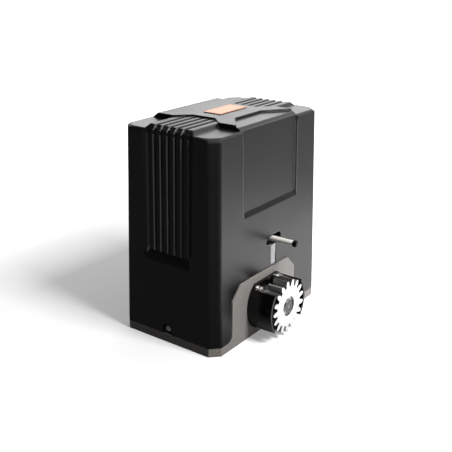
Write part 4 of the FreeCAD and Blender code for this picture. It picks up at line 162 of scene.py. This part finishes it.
# %% [markdown]
# ## Floor and room
#
# Product views of black goods stand on white paper that runs out of sight. The floor is one large
# plane that bounces light as paper does. For camera and mirror rays it also glows: weakly near the motor,
# so that the shadow stays, and up to full white further out, where the lamps' light fades. The room is
# white too where the camera looks past the floor. Black plastic lives from what it mirrors, so studios
# lay dark cloth on one side: here floor and room throw less light on the left than on the right, which
# gives the dark ribbed end beside the brighter front. The floor's share also falls with distance, so that
# the front is lighter low down, where it mirrors the paper close by.

# %% Lay the floor
FLOOR_SIZE = 40
FLOOR_GAP = 0.2 * MM


def paper(name, bounce, near_glow, near, far, left, right, slant, dark_until, bright_from):
    """White paper whose glow rises from near_glow to full white between two distances.

    What it throws back on the motor rises from the left share to the right one along X plus a slant
    times Y. Each share is a pair: the one close to the motor and the one far out.
    """
    material = bpy.data.materials.new(name)
    material.use_nodes = True
    tree = material.node_tree
    tree.nodes.clear()
    path = tree.nodes.new("ShaderNodeLightPath")
    place = object_place(tree)
    away = tree.nodes.new("ShaderNodeVectorMath")
    away.operation = "LENGTH"
    tree.links.new(place, away.inputs[0])
    outward = ramp(tree, away.outputs["Value"], near, far)
    parts = split(tree, place)
    across = calculate(tree, "ADD", parts["X"], calculate(tree, "MULTIPLY", parts["Y"], slant))
    side = ramp(tree, across, dark_until, bright_from)
    left_share = between(tree, *left, outward)
    right_share = between(tree, *right, outward)
    thrown = between(tree, left_share, right_share, side)
    share = calculate(tree, "MAXIMUM", thrown, path.outputs["Is Camera Ray"])
    matt = tree.nodes.new("ShaderNodeBsdfDiffuse")
    tree.links.new(calculate(tree, "MULTIPLY", share, bounce), matt.inputs["Color"])
    level = calculate(tree, "MULTIPLY", seen_rays(tree), between(tree, near_glow, 1.0, outward))
    glow = tree.nodes.new("ShaderNodeEmission")
    tree.links.new(calculate(tree, "MULTIPLY", level, share), glow.inputs["Strength"])
    both = tree.nodes.new("ShaderNodeAddShader")
    tree.links.new(matt.outputs[0], both.inputs[0])
    tree.links.new(glow.outputs[0], both.inputs[1])
    surface = tree.nodes.new("ShaderNodeOutputMaterial")
    tree.links.new(both.outputs[0], surface.inputs["Surface"])
    return material


bpy.ops.mesh.primitive_plane_add(size=FLOOR_SIZE, location=(0, 0, low.z - FLOOR_GAP))
floor = bpy.context.object
floor.name = "floor"
floor.data.materials.append(
    paper(
        "paper_white", bounce=0.84, near_glow=0.25, near=0.36, far=0.8,
        left=(0.11, 0.08), right=(1.55, 0.4), slant=-0.5, dark_until=-0.1, bright_from=0.22,
    )
)
print("floor laid at", round(low.z / MM, 2), "mm")

# %% Light the room
Glow = namedtuple("Glow", "side start levels")


def dim_room(name, soft, mirror):
    """A surround with one glow for soft light and another for mirror rays; all other rays see white.

    A glow rises from its first level to its second as a ray turns to its bright side. It starts to rise
    at the given cosine between the two.
    """
    world = bpy.data.worlds.new(name)
    world.use_nodes = True
    tree = world.node_tree
    sky = tree.nodes["Background"]
    sky.inputs["Color"].default_value = (1, 1, 1, 1)
    path = tree.nodes.new("ShaderNodeLightPath")
    direction = tree.nodes.new("ShaderNodeTexCoord").outputs["Generated"]
    levels = []
    for glow in (soft, mirror):
        cosine = dot_product(tree, direction, Vector(glow.side).normalized())
        levels.append(ramp(tree, cosine, glow.start, 1.0, *glow.levels))
    mixed = between(tree, *levels, path.outputs["Is Glossy Ray"])
    clear = calculate(tree, "ADD", path.outputs["Is Camera Ray"], path.outputs["Is Transmission Ray"])
    rest = calculate(tree, "MULTIPLY", mixed, calculate(tree, "SUBTRACT", 1.0, clear, clamp=True))
    tree.links.new(calculate(tree, "ADD", clear, rest), sky.inputs["Strength"])
    bpy.context.scene.world = world


dim_room(
    "studio_room",
    soft=Glow(side=(1, -0.5, 0.4), start=-0.25, levels=(0.01, 0.6)),
    mirror=Glow(side=(0.8, 0.1, 0.6), start=0.4, levels=(0.05, 1.2)),
)
print("room lit from the right")

# %% [markdown]
# ## Lamps
#
# One softbox in front and above makes nearly all the light: the toothed wheel and the plate behind it
# stand in full light, the ribbed left end stays dark, and the shadow runs away behind the motor. A weak,
# low panel behind on the right is there for the top: seen at a flat angle, even black plastic mirrors it.

# %% Hang the lamps
LAMP_TARGET = Vector((0, 0, 0.12))


def softbox(name, place, width, height, watts):
    """A rectangular lamp that looks at the motor and that the camera doesn't see."""
    bpy.ops.object.light_add(type="AREA", location=place)
    lamp = bpy.context.object
    lamp.name = name
    lamp.data.shape = "RECTANGLE"
    lamp.data.size = width
    lamp.data.size_y = height
    lamp.data.energy = watts
    lamp.visible_camera = False
    lamp.rotation_euler = (LAMP_TARGET - Vector(place)).to_track_quat("-Z", "Y").to_euler()


softbox("key_front", place=(-0.08, -1.55, 2.05), width=0.7, height=0.7, watts=62)
softbox("top_shine", place=(1.9, 1.35, 1.15), width=1.8, height=0.9, watts=8)
print("two softboxes hung")

# %% [markdown]
# ## A small kit for finishes
#
# Every finish below is a Principled shader with patterns fed by Object coordinates, which are metres
# here, so a grain of a third of a millimetre is a noise of scale 3000. A Bevel node rounds the shading of
# sharp CAD edges, as every moulded, cast or cut edge is rounded a little.

# %% Start a finish
WAVE_PERIOD = 0.314    # length after which a Wave texture of scale one repeats
EDGE_SAMPLES = 4       # rays that a shader sends out to feel for an edge


def new_finish(name, metallic=0.0, gloss=0.5):
    """A named Principled material; gives the material, its node tree and its shader."""
    material = bpy.data.materials.new(name)
    material.use_nodes = True
    shader = material.node_tree.nodes["Principled BSDF"]
    shader.inputs["Metallic"].default_value = metallic
    shader.inputs["Specular IOR Level"].default_value = gloss
    return material, material.node_tree, shader


def pattern(tree, kind, scale, stretch=(1, 1, 1), centre=(0, 0, 0), **settings):
    """A texture on Object coordinates about a centre; the scale counts features per metre."""
    fit = tree.nodes.new("ShaderNodeMapping")
    fit.inputs["Scale"].default_value = stretch
    fit.inputs["Location"].default_value = [-c * k for c, k in zip(centre, stretch)]
    texture = tree.nodes.new(f"ShaderNodeTex{kind}")
    texture.inputs["Scale"].default_value = scale
    for key, amount in settings.items():
        texture.inputs[key.title()].default_value = amount
    tree.links.new(object_place(tree), fit.inputs["Vector"])
    tree.links.new(fit.outputs["Vector"], texture.inputs["Vector"])
    return texture


def grooves(tree, pitch, axis=None, rings=None, centre=(0, 0, 0), uneven=0.6):
    """Fine parallel marks: bands along an axis, or turned rings about one."""
    marks = pattern(tree, "Wave", WAVE_PERIOD / pitch, centre=centre, distortion=uneven, detail=1.0)
    marks.wave_type = "RINGS" if rings else "BANDS"
    if rings:
        marks.rings_direction = rings
    else:
        marks.bands_direction = axis
    return marks


def grey_of(texture):
    """The grey value of a texture: noise calls it Fac, cells call it Distance."""
    return texture.outputs["Fac"] if "Fac" in texture.outputs else texture.outputs["Distance"]


print("patterns ready")

# %% Let a pattern drive colour, roughness and relief
MIDDLE_GREYS = (0.3, 0.7)    # nearly all values of a noise lie between these


def vary_colour(tree, shader, texture, dark, light, greys=(0.35, 0.65)):
    """Run the colour from dark to light between two grey values of a texture."""
    colours = tree.nodes.new("ShaderNodeValToRGB")
    for stop, grey, colour in zip(colours.color_ramp.elements, greys, (dark, light)):
        stop.position = grey
        stop.color = (*colour, 1)
    tree.links.new(grey_of(texture), colours.inputs["Fac"])
    tree.links.new(colours.outputs["Color"], shader.inputs["Base Color"])


def vary_roughness(tree, shader, texture, smooth, rough):
    """Run the roughness from smooth to rough with the greys of a texture."""
    drift = ramp(tree, grey_of(texture), *MIDDLE_GREYS, smooth, rough, smooth=False)
    tree.links.new(drift, shader.inputs["Roughness"])


def rounding(tree, radius):
    """A Bevel node: its normal turns gently over edges, by a radius in metres."""
    node = tree.nodes.new("ShaderNodeBevel")
    node.samples = EDGE_SAMPLES
    node.inputs["Radius"].default_value = radius
    return node


def beyond(tree, axis, limit, fade):
    """One where a point lies further out along an axis than a limit, zero further in."""
    out = calculate(tree, "ABSOLUTE", split(tree, object_place(tree))[axis])
    return ramp(tree, out, limit, limit + fade)


def relief(tree, shader, texture, depth, edge, corner=None):
    """Bump of a depth over edges rounded by a radius; the cover's upright corners may have their own."""
    bump = tree.nodes.new("ShaderNodeBump")
    bump.inputs["Strength"].default_value = 1.0
    bump.inputs["Distance"].default_value = depth
    tree.links.new(grey_of(texture), bump.inputs["Height"])
    edges = rounding(tree, edge)
    if corner:
        at_end = beyond(tree, "X", cover_end, fade=8 * MM)
        at_side = beyond(tree, "Y", cover_side, fade=8 * MM)
        at_corner = calculate(tree, "MULTIPLY", at_end, at_side)
        tree.links.new(between(tree, edge, corner, at_corner), edges.inputs["Radius"])
    tree.links.new(edges.outputs["Normal"], bump.inputs["Normal"])
    tree.links.new(bump.outputs["Normal"], shader.inputs["Normal"])


def colour_source(shader):
    """The socket that feeds the colour so far."""
    return shader.inputs["Base Color"].links[0].from_socket


def mark(tree, shader, mask, colour):
    """Lay a colour over the finish where a mask is one."""
    mixed = tree.nodes.new("ShaderNodeMix")
    mixed.data_type = "RGBA"
    tree.links.new(mask, mixed.inputs["Factor"])
    tree.links.new(colour_source(shader), mixed.inputs["A"])
    mixed.inputs["B"].default_value = (*colour, 1)
    tree.links.new(mixed.outputs["Result"], shader.inputs["Base Color"])


def paint_light_by_facing(tree, shader, axis, facing, aside, first_cosine=0.6, last_cosine=0.95):
    """Paint light and shade into the colour: multiply it by one share on faces square to an axis and by
    another beside them.
    """
    square = calculate(tree, "ABSOLUTE", split(tree, true_normal(tree))[axis])
    share = ramp(tree, square, first_cosine, last_cosine, aside, facing, smooth=False)
    scaled = tree.nodes.new("ShaderNodeVectorMath")
    scaled.operation = "SCALE"
    tree.links.new(colour_source(shader), scaled.inputs[0])
    tree.links.new(share, scaled.inputs["Scale"])
    tree.links.new(scaled.outputs[0], shader.inputs["Base Color"])


def dress(material, *names):
    """Give a finish to CAD nodes."""
    for name in names:
        slots = nodes[name].data.materials
        slots.clear()
        slots.append(material)
    print(f"{material.name}: {', '.join(names)}")


print("finish kit ready")

# %% [markdown]
# ## Moulded plastics
#
# The cover is satin black plastic with a spark-eroded grain, so light spreads on it instead of
# mirroring. A large soft noise changes the roughness a little, as handling and mould flow do, and a fine
# noise gives the grain its relief. Its four upright corners are rounded more than its other edges. The
# thin bevels of the ribs and the rims on the long sides get painted highlights: a paler colour that stands
# in for the light their narrow edges catch. The guard round the pinion comes from a polished mould: black
# too, but glossy. Small electrical mouldings are in between, each in its own colour.

# %% Paint highlights on the cover's rib bevels and rims
HIGHLIGHT_RADIUS = 1.4 * MM
HIGHLIGHT_FADE = 2 * MM
# painted highlights: paler colours on the rib bevels and the rims, standing in for light their edges catch
RIB_HIGHLIGHT = (0.19, 0.19, 0.19)
RIM_HIGHLIGHT = (0.40, 0.40, 0.40)


def keep_inside(tree, mask, **limits):
    """Clear a mask where a point lies further out along an axis than that axis's limit."""
    for axis, limit in limits.items():
        inside = calculate(tree, "SUBTRACT", 1.0, beyond(tree, axis, limit, HIGHLIGHT_FADE))
        mask = calculate(tree, "MULTIPLY", mask, inside)
    return mask


def turned_edges(tree, radius, reach=0.12, open_share=0.75):
    """One where the surface turns over an edge, zero on flat faces and in grooves.

    Over an edge the cosine between the rounded and the true normal falls short of one, by reach for a
    full mask. The surroundings also have to be open by more than a share, which a groove's are not.
    """
    cosine = dot_product(tree, rounding(tree, radius).outputs["Normal"], true_normal(tree))
    turned = calculate(tree, "DIVIDE", calculate(tree, "SUBTRACT", 1.0, cosine), reach, clamp=True)
    openness = tree.nodes.new("ShaderNodeAmbientOcclusion")
    openness.samples = EDGE_SAMPLES
    openness.inputs["Distance"].default_value = radius
    free = ramp(tree, openness.outputs["AO"], open_share, 1.0, smooth=False)
    return calculate(tree, "MULTIPLY", turned, free)


def slanted_faces(tree, least=0.3):
    """One on upright faces that look half along X and half along Y, as a rib's bevels do."""
    looks = split(tree, true_normal(tree))
    product = calculate(tree, "ABSOLUTE", calculate(tree, "MULTIPLY", looks["X"], looks["Y"]))
    return calculate(tree, "GREATER_THAN", product, least)


def paint_cover_highlights(tree, shader):
    """Paint paler highlights on the rib bevels at both ends and the rims in the middle of the long sides.
    """
    at_ends = beyond(tree, "X", rib_start, HIGHLIGHT_FADE)
    bevels = calculate(tree, "MULTIPLY", slanted_faces(tree), at_ends)
    mark(tree, shader, keep_inside(tree, bevels, Y=rib_reach, Z=cover_rim), RIB_HIGHLIGHT)
    rims = turned_edges(tree, HIGHLIGHT_RADIUS)
    mark(tree, shader, keep_inside(tree, rims, X=cover_end, Z=cover_rim), RIM_HIGHLIGHT)


print("painted_highlights ready")

# %% Dress the mouldings
TONE_SPREAD = 0.15


def moulded_plastic(
    name, tone, smooth, rough, depth=0.03 * MM, edge=0.6 * MM, corner=None, gloss=0.5, edge_highlights=False
):
    """Grained plastic whose colour and gloss drift slowly; corner is for the cover's upright corners, and
    the last flag paints paler highlights on the rib bevels and rims.
    """
    material, tree, shader = new_finish(name, gloss=gloss)
    cloud = pattern(tree, "Noise", scale=14, detail=3)
    dark = [c * (1 - TONE_SPREAD) for c in tone]
    light = [c * (1 + TONE_SPREAD) for c in tone]
    vary_colour(tree, shader, cloud, dark, light)
    vary_roughness(tree, shader, cloud, smooth, rough)
    relief(tree, shader, pattern(tree, "Noise", scale=2600, detail=2), depth, edge, corner)
    if edge_highlights:
        paint_cover_highlights(tree, shader)
    return material


# the cover gets painted highlights on its rib bevels and rims
cover_black = moulded_plastic(
    "cover_black", (0.0035, 0.0035, 0.0037), 0.27, 0.35, edge=2.4 * MM, corner=6 * MM, edge_highlights=True
)
guard_black = moulded_plastic(
    "guard_black", (0.002, 0.002, 0.002), 0.12, 0.20, depth=0.004 * MM, edge=0.8 * MM, gloss=0.28
)
cap_black = moulded_plastic(
    "cap_black", (0.002, 0.002, 0.002), 0.12, 0.18, depth=0.006 * MM, gloss=0.22
)
switch_black = moulded_plastic("switch_black", (0.02, 0.02, 0.021), 0.38, 0.5)
lever_black = moulded_plastic("lever_black", (0.014, 0.014, 0.015), 0.3, 0.4)
button_red = moulded_plastic("button_red", (0.45, 0.03, 0.02), 0.3, 0.4)
relay_blue = moulded_plastic("relay_blue", (0.02, 0.09, 0.28), 0.28, 0.36)
terminal_green = moulded_plastic("terminal_green", (0.03, 0.24, 0.07), 0.36, 0.46)
spacer_white = moulded_plastic("spacer_white", (0.72, 0.71, 0.67), 0.4, 0.5)
dress(cover_black, "cover")
dress(guard_black, "pinion_guard")
dress(cap_black, "rod_cap")
dress(switch_black, "microswitches")
dress(lever_black, "lever_hub")
dress(button_red, "left_plunger", "right_plunger")
dress(relay_blue, "relays")
dress(terminal_green, "terminal_block")
dress(spacer_white, "board_spacers")

# %% [markdown]
# ## Painted casting
#
# Base and front plate are one aluminium casting under a warm grey satin paint, and the gearbox's rear
# cover matches it. The paint softens the casting's skin, which leaves a low orange-peel relief, and a
# sparse darker speckle shows where the paint is thin over the metal.

# %% Dress the castings
def cast_paint(name, dark, light, smooth, rough):
    """Satin paint with a dark speckle over an orange-peel skin."""
    material, tree, shader = new_finish(name, gloss=0.4)
    speckle = pattern(tree, "Noise", scale=700, detail=5, roughness=0.7)
    vary_colour(tree, shader, speckle, dark, light, greys=(0.3, 0.62))
    vary_roughness(tree, shader, pattern(tree, "Noise", scale=60, detail=2), smooth, rough)
    peel = pattern(tree, "Noise", scale=420, detail=2)
    relief(tree, shader, peel, depth=0.10 * MM, edge=0.7 * MM)
    return material


def bare_casting(name, dark, light, smooth, rough):
    """Unpainted metal with a cloudy, grainy skin."""
    material, tree, shader = new_finish(name, metallic=1.0)
    skin = pattern(tree, "Noise", scale=260, detail=5, roughness=0.65)
    vary_colour(tree, shader, skin, dark, light)
    vary_roughness(tree, shader, skin, smooth, rough)
    grain = pattern(tree, "Noise", scale=900, detail=3)
    relief(tree, shader, grain, depth=0.12 * MM, edge=0.6 * MM)
    return material


casting_grey = cast_paint("casting_grey", (0.19, 0.177, 0.165), (0.33, 0.311, 0.295), 0.52, 0.66)
shield_metal = bare_casting("shield_metal", (0.50, 0.50, 0.50), (0.68, 0.68, 0.68), 0.42, 0.58)
dress(casting_grey, "base_casting", "gearbox_cover")
dress(shield_metal, "lower_shield", "upper_shield")

# %% [markdown]
# ## Turned and ground steel
#
# A lathe leaves fine rings round its axis. The wave texture in its ring form draws them, centred on the
# axis that the piece was turned about, and a noise makes the roughness drift. The colour of the pinion and
# its shaft also carries painted light and shade by the way a face looks: the pinion's faced end is painted
# brighter than its teeth, and the shaft's end is painted dark, as shade deep in the pinion's bore.

# %% Dress the turned pieces
output_axis = centre_of("drive_pinion")
motor_axis = centre_of("rotor_core")


def turned_metal(
    name, dark, light, smooth, rough, pitch, depth, centre=output_axis, axis=None, rings="Y", faces=None
):
    """Steel with turned marks; faces gives the shares of painted light and shade on faces square to Y and
    beside them.
    """
    material, tree, shader = new_finish(name, metallic=1.0)
    cloud = pattern(tree, "Noise", scale=90, detail=4, roughness=0.6)
    vary_colour(tree, shader, cloud, dark, light)
    # painted light and shade: the colour changes with the way a face looks
    if faces:
        paint_light_by_facing(tree, shader, "Y", *faces)
    vary_roughness(tree, shader, cloud, smooth, rough)
    relief(tree, shader, grooves(tree, pitch, axis, rings, centre), depth, edge=0.3 * MM)
    return material


# painted light: the pinion's faced end brighter than its teeth
pinion_steel = turned_metal(
    "pinion_steel", (0.76, 0.76, 0.75), (0.84, 0.84, 0.83), 0.30, 0.40,
    pitch=0.7 * MM, depth=0.006 * MM, faces=(1.0, 0.5),
)
# painted shade: the shaft's end dark, deep in the pinion's bore
shaft_steel = turned_metal(
    "shaft_steel", (0.42, 0.41, 0.40), (0.55, 0.54, 0.52), 0.24, 0.34,
    pitch=0.6 * MM, depth=0.010 * MM, faces=(0.16, 1.0),
)
small_steel = turned_metal(
    "small_steel", (0.55, 0.54, 0.53), (0.68, 0.67, 0.65), 0.26, 0.36, pitch=0.6 * MM, depth=0.006 * MM
)
upright_steel = turned_metal(
    "upright_steel", (0.50, 0.50, 0.49), (0.63, 0.62, 0.60), 0.2, 0.3,
    pitch=0.5 * MM, depth=0.010 * MM, centre=motor_axis, axis="Z", rings=None,
)
race_steel = turned_metal(
    "race_steel", (0.60, 0.60, 0.60), (0.70, 0.70, 0.70), 0.14, 0.22, pitch=0.4 * MM, depth=0.004 * MM
)
wheel_bronze = turned_metal(
    "wheel_bronze", (0.52, 0.30, 0.12), (0.66, 0.41, 0.18), 0.24, 0.36, pitch=0.7 * MM, depth=0.010 * MM
)
dress(pinion_steel, "drive_pinion")
dress(shaft_steel, "output_shaft")
dress(small_steel, "spacer_sleeve", "pinion_key", "wheel_key", "pinion_ring")
dress(upright_steel, "worm_shaft")
dress(race_steel, "output_bearing_outers", "output_bearing_inners")
dress(race_steel, "worm_bearing_outers", "worm_bearing_inners")
dress(wheel_bronze, "worm_wheel")

# %% [markdown]
# ## Drawn rod, plated screws and sheet
#
# The limit rod is drawn bright steel: its marks run along it, so the noise is stretched along Y. Screws,
# washers and folded sheet are zinc plated. Zinc is slightly blue and cloudy, with soft crystals that a
# cell texture gives. The guard's screws are plated too, smoother and a touch warmer than the others.

# %% Dress rod, screws and sheet
def drawn_steel(name, dark, light, smooth, rough, along, metallic=1.0):
    """Steel with long streaks; the rod is hardly metallic, as its fine marks spread the light."""
    material, tree, shader = new_finish(name, metallic)
    stretch = [0.02 if axis == along else 1 for axis in "XYZ"]
    streaks = pattern(tree, "Noise", scale=2200, stretch=stretch, detail=3)
    vary_colour(tree, shader, streaks, dark, light)
    vary_roughness(tree, shader, streaks, smooth, rough)
    relief(tree, shader, streaks, depth=0.006 * MM, edge=0.2 * MM)
    return material


def zinc_plate(name, dark, light, smooth, rough, crystal, edge=0.3 * MM):
    """Cloudy zinc with crystal cells, of which a metre holds the given number."""
    material, tree, shader = new_finish(name, metallic=1.0)
    vary_colour(tree, shader, pattern(tree, "Voronoi", crystal), dark, light, greys=(0.1, 0.8))
    vary_roughness(tree, shader, pattern(tree, "Noise", scale=160, detail=3), smooth, rough)
    relief(tree, shader, pattern(tree, "Noise", scale=1500, detail=2), 0.012 * MM, edge)
    return material


rod_steel = drawn_steel(
    "rod_steel", (0.90, 0.87, 0.83), (0.98, 0.95, 0.91), 0.26, 0.38, along="Y", metallic=0.05
)
spring_steel = drawn_steel("spring_steel", (0.42, 0.42, 0.43), (0.58, 0.58, 0.6), 0.25, 0.35, along="Z")
zinc_screw = zinc_plate("zinc_screw", (0.62, 0.64, 0.66), (0.78, 0.79, 0.80), 0.24, 0.36, crystal=700)
zinc_sheet = zinc_plate("zinc_sheet", (0.26, 0.26, 0.27), (0.34, 0.34, 0.35), 0.3, 0.42, crystal=260)
guard_zinc = zinc_plate(
    "guard_zinc", (0.62, 0.60, 0.58), (0.86, 0.84, 0.82), 0.22, 0.34, crystal=900, edge=0.5 * MM
)
dress(rod_steel, "limit_rod")
dress(spring_steel, "centring_spring")
dress(zinc_screw, "gearbox_screws", "cover_screws", "tie_bolts", "switch_screws", "board_screws")
dress(zinc_screw, "bracket_screws", "clamp_screw", "pivot_pin")
dress(zinc_sheet, "limit_bracket", "board_bracket", "transformer_strap", "capacitor_clamp")
dress(guard_zinc, "guard_screws", "guard_washers")

# %% [markdown]
# ## Iron, copper and board
#
# Motor and transformer cores are stacks of thin sheets, so a band pattern draws the stack's edges. The
# windings are enamelled copper wire laid side by side, bound in a few turns. The circuit board has a
# green mask over copper tracks: a cell pattern with square corners stands for the tracks.

# %% Dress the electrical pieces
def sheet_stack(name, dark, light, axis):
    """Sheets stacked along an axis, seen from their edges."""
    material, tree, shader = new_finish(name, metallic=1.0)
    sheets = grooves(tree, pitch=1.0 * MM, axis=axis, uneven=0.3)
    vary_colour(tree, shader, sheets, dark, light, greys=(0.2, 0.8))
    vary_roughness(tree, shader, pattern(tree, "Noise", scale=120, detail=3), 0.4, 0.55)
    relief(tree, shader, sheets, depth=0.04 * MM, edge=0.3 * MM)
    return material


def wound_wire(name, dark, light, pitch):
    """Turns that lie one above the other, a pitch apart."""
    material, tree, shader = new_finish(name, gloss=0.6)
    turns = grooves(tree, pitch, axis="Z", uneven=1.2)
    vary_colour(tree, shader, turns, dark, light, greys=(0.1, 0.7))
    vary_roughness(tree, shader, turns, 0.22, 0.34)
    relief(tree, shader, turns, depth=0.2 * MM, edge=1.0 * MM)
    return material


def circuit_board(name, mask, track, cell):
    """Green mask over square-cornered tracks."""
    material, tree, shader = new_finish(name)
    tracks = pattern(tree, "Voronoi", cell)
    tracks.distance = "MANHATTAN"
    tracks.feature = "F1"
    vary_colour(tree, shader, tracks, track, mask, greys=(0.25, 0.3))
    vary_roughness(tree, shader, tracks, 0.25, 0.32)
    relief(tree, shader, tracks, depth=0.03 * MM, edge=0.2 * MM)
    return material


core_sheets = sheet_stack("core_sheets", (0.10, 0.10, 0.105), (0.30, 0.30, 0.31), axis="Z")
small_core_sheets = sheet_stack("small_core_sheets", (0.08, 0.08, 0.085), (0.24, 0.24, 0.25), axis="X")
copper_turns = wound_wire("copper_turns", (0.16, 0.045, 0.015), (0.48, 0.17, 0.06), pitch=1.2 * MM)
coil_tape = wound_wire("coil_tape", (0.42, 0.27, 0.03), (0.62, 0.44, 0.07), pitch=6 * MM)
board_mask = circuit_board("board_mask", (0.012, 0.10, 0.035), (0.03, 0.19, 0.07), cell=240)
capacitor_can = bare_casting("capacitor_can", (0.70, 0.70, 0.71), (0.80, 0.80, 0.81), 0.26, 0.34)
dress(core_sheets, "stator_core", "rotor_core")
dress(small_core_sheets, "transformer_core")
dress(copper_turns, "windings")
dress(coil_tape, "transformer_coil")
dress(board_mask, "control_board")
dress(capacitor_can, "run_capacitor")

# %% [markdown]
# ## Rubber and gasket
#
# Seals and the cable grommet are matt rubber with a dusting of chalk in the low places. The gasket is
# pressed fibre, which is a short-haired noise in a warm grey.

# %% Dress rubber and gasket
def matt_rubber(name, dark, light, grain):
    """Rough, dusty material with a low grain."""
    material, tree, shader = new_finish(name, gloss=0.35)
    dust = pattern(tree, "Noise", grain, detail=6, roughness=0.7)
    vary_colour(tree, shader, dust, dark, light, greys=(0.4, 0.75))
    vary_roughness(tree, shader, dust, 0.6, 0.8)
    relief(tree, shader, dust, depth=0.05 * MM, edge=0.4 * MM)
    return material


grommet_rubber = matt_rubber("grommet_rubber", (0.012, 0.012, 0.012), (0.035, 0.034, 0.033), grain=350)
gasket_fibre = matt_rubber("gasket_fibre", (0.10, 0.085, 0.065), (0.19, 0.165, 0.13), grain=1200)
dress(grommet_rubber, "cable_grommet", "output_seal", "worm_seal")
dress(gasket_fibre, "gearbox_gasket")

# %% [markdown]
# ## Label plate
#
# The plate on the top is a thin copper-coloured foil on a backing, and it stays blank. The foil is
# brushed along its length, so its noise is stretched along X. A fine line runs round it a little way in
# from the edge: the distance to the edge, worked out from Object coordinates, picks the line out.

# %% Dress the label plate
LINE_INSET = 2.2 * MM
LINE_WIDTH = 0.7 * MM


def border_line(tree):
    """One on the line that runs round the label, and zero elsewhere."""
    place = split(tree, object_place(tree))
    middle = (label_low + label_high) / 2
    half = (label_high - label_low) / 2
    to_edge = []
    for axis, letter in enumerate("XY"):
        off = calculate(tree, "ABSOLUTE", calculate(tree, "SUBTRACT", place[letter], middle[axis]))
        to_edge.append(calculate(tree, "SUBTRACT", half[axis], off))
    nearest = calculate(tree, "MINIMUM", *to_edge)
    from_line = calculate(tree, "ABSOLUTE", calculate(tree, "SUBTRACT", nearest, LINE_INSET))
    return calculate(tree, "LESS_THAN", from_line, LINE_WIDTH / 2)


def brushed_foil(name, dark, light, line, smooth, rough):
    """Foil brushed along X, with a line round its edge."""
    material, tree, shader = new_finish(name, metallic=1.0)
    streaks = pattern(tree, "Noise", scale=1800, stretch=(0.03, 1, 1), detail=3)
    vary_colour(tree, shader, streaks, dark, light)
    mark(tree, shader, border_line(tree), line)
    vary_roughness(tree, shader, streaks, smooth, rough)
    relief(tree, shader, streaks, depth=0.008 * MM, edge=0.3 * MM)
    return material


label_copper = brushed_foil(
    "label_copper", (0.63, 0.31, 0.20), (0.77, 0.41, 0.29), (0.33, 0.13, 0.08), 0.36, 0.48
)
dress(label_copper, "label_plate")

# %% Make sure that every CAD node has a finish
BARE_NODES = 4    # an untouched material has fewer nodes than this
undressed = [n for n, p in nodes.items() if len(p.data.materials[0].node_tree.nodes) < BARE_NODES]
print("nodes without a finish:", undressed or "none")

# %% End of the scene
print("scene ready")
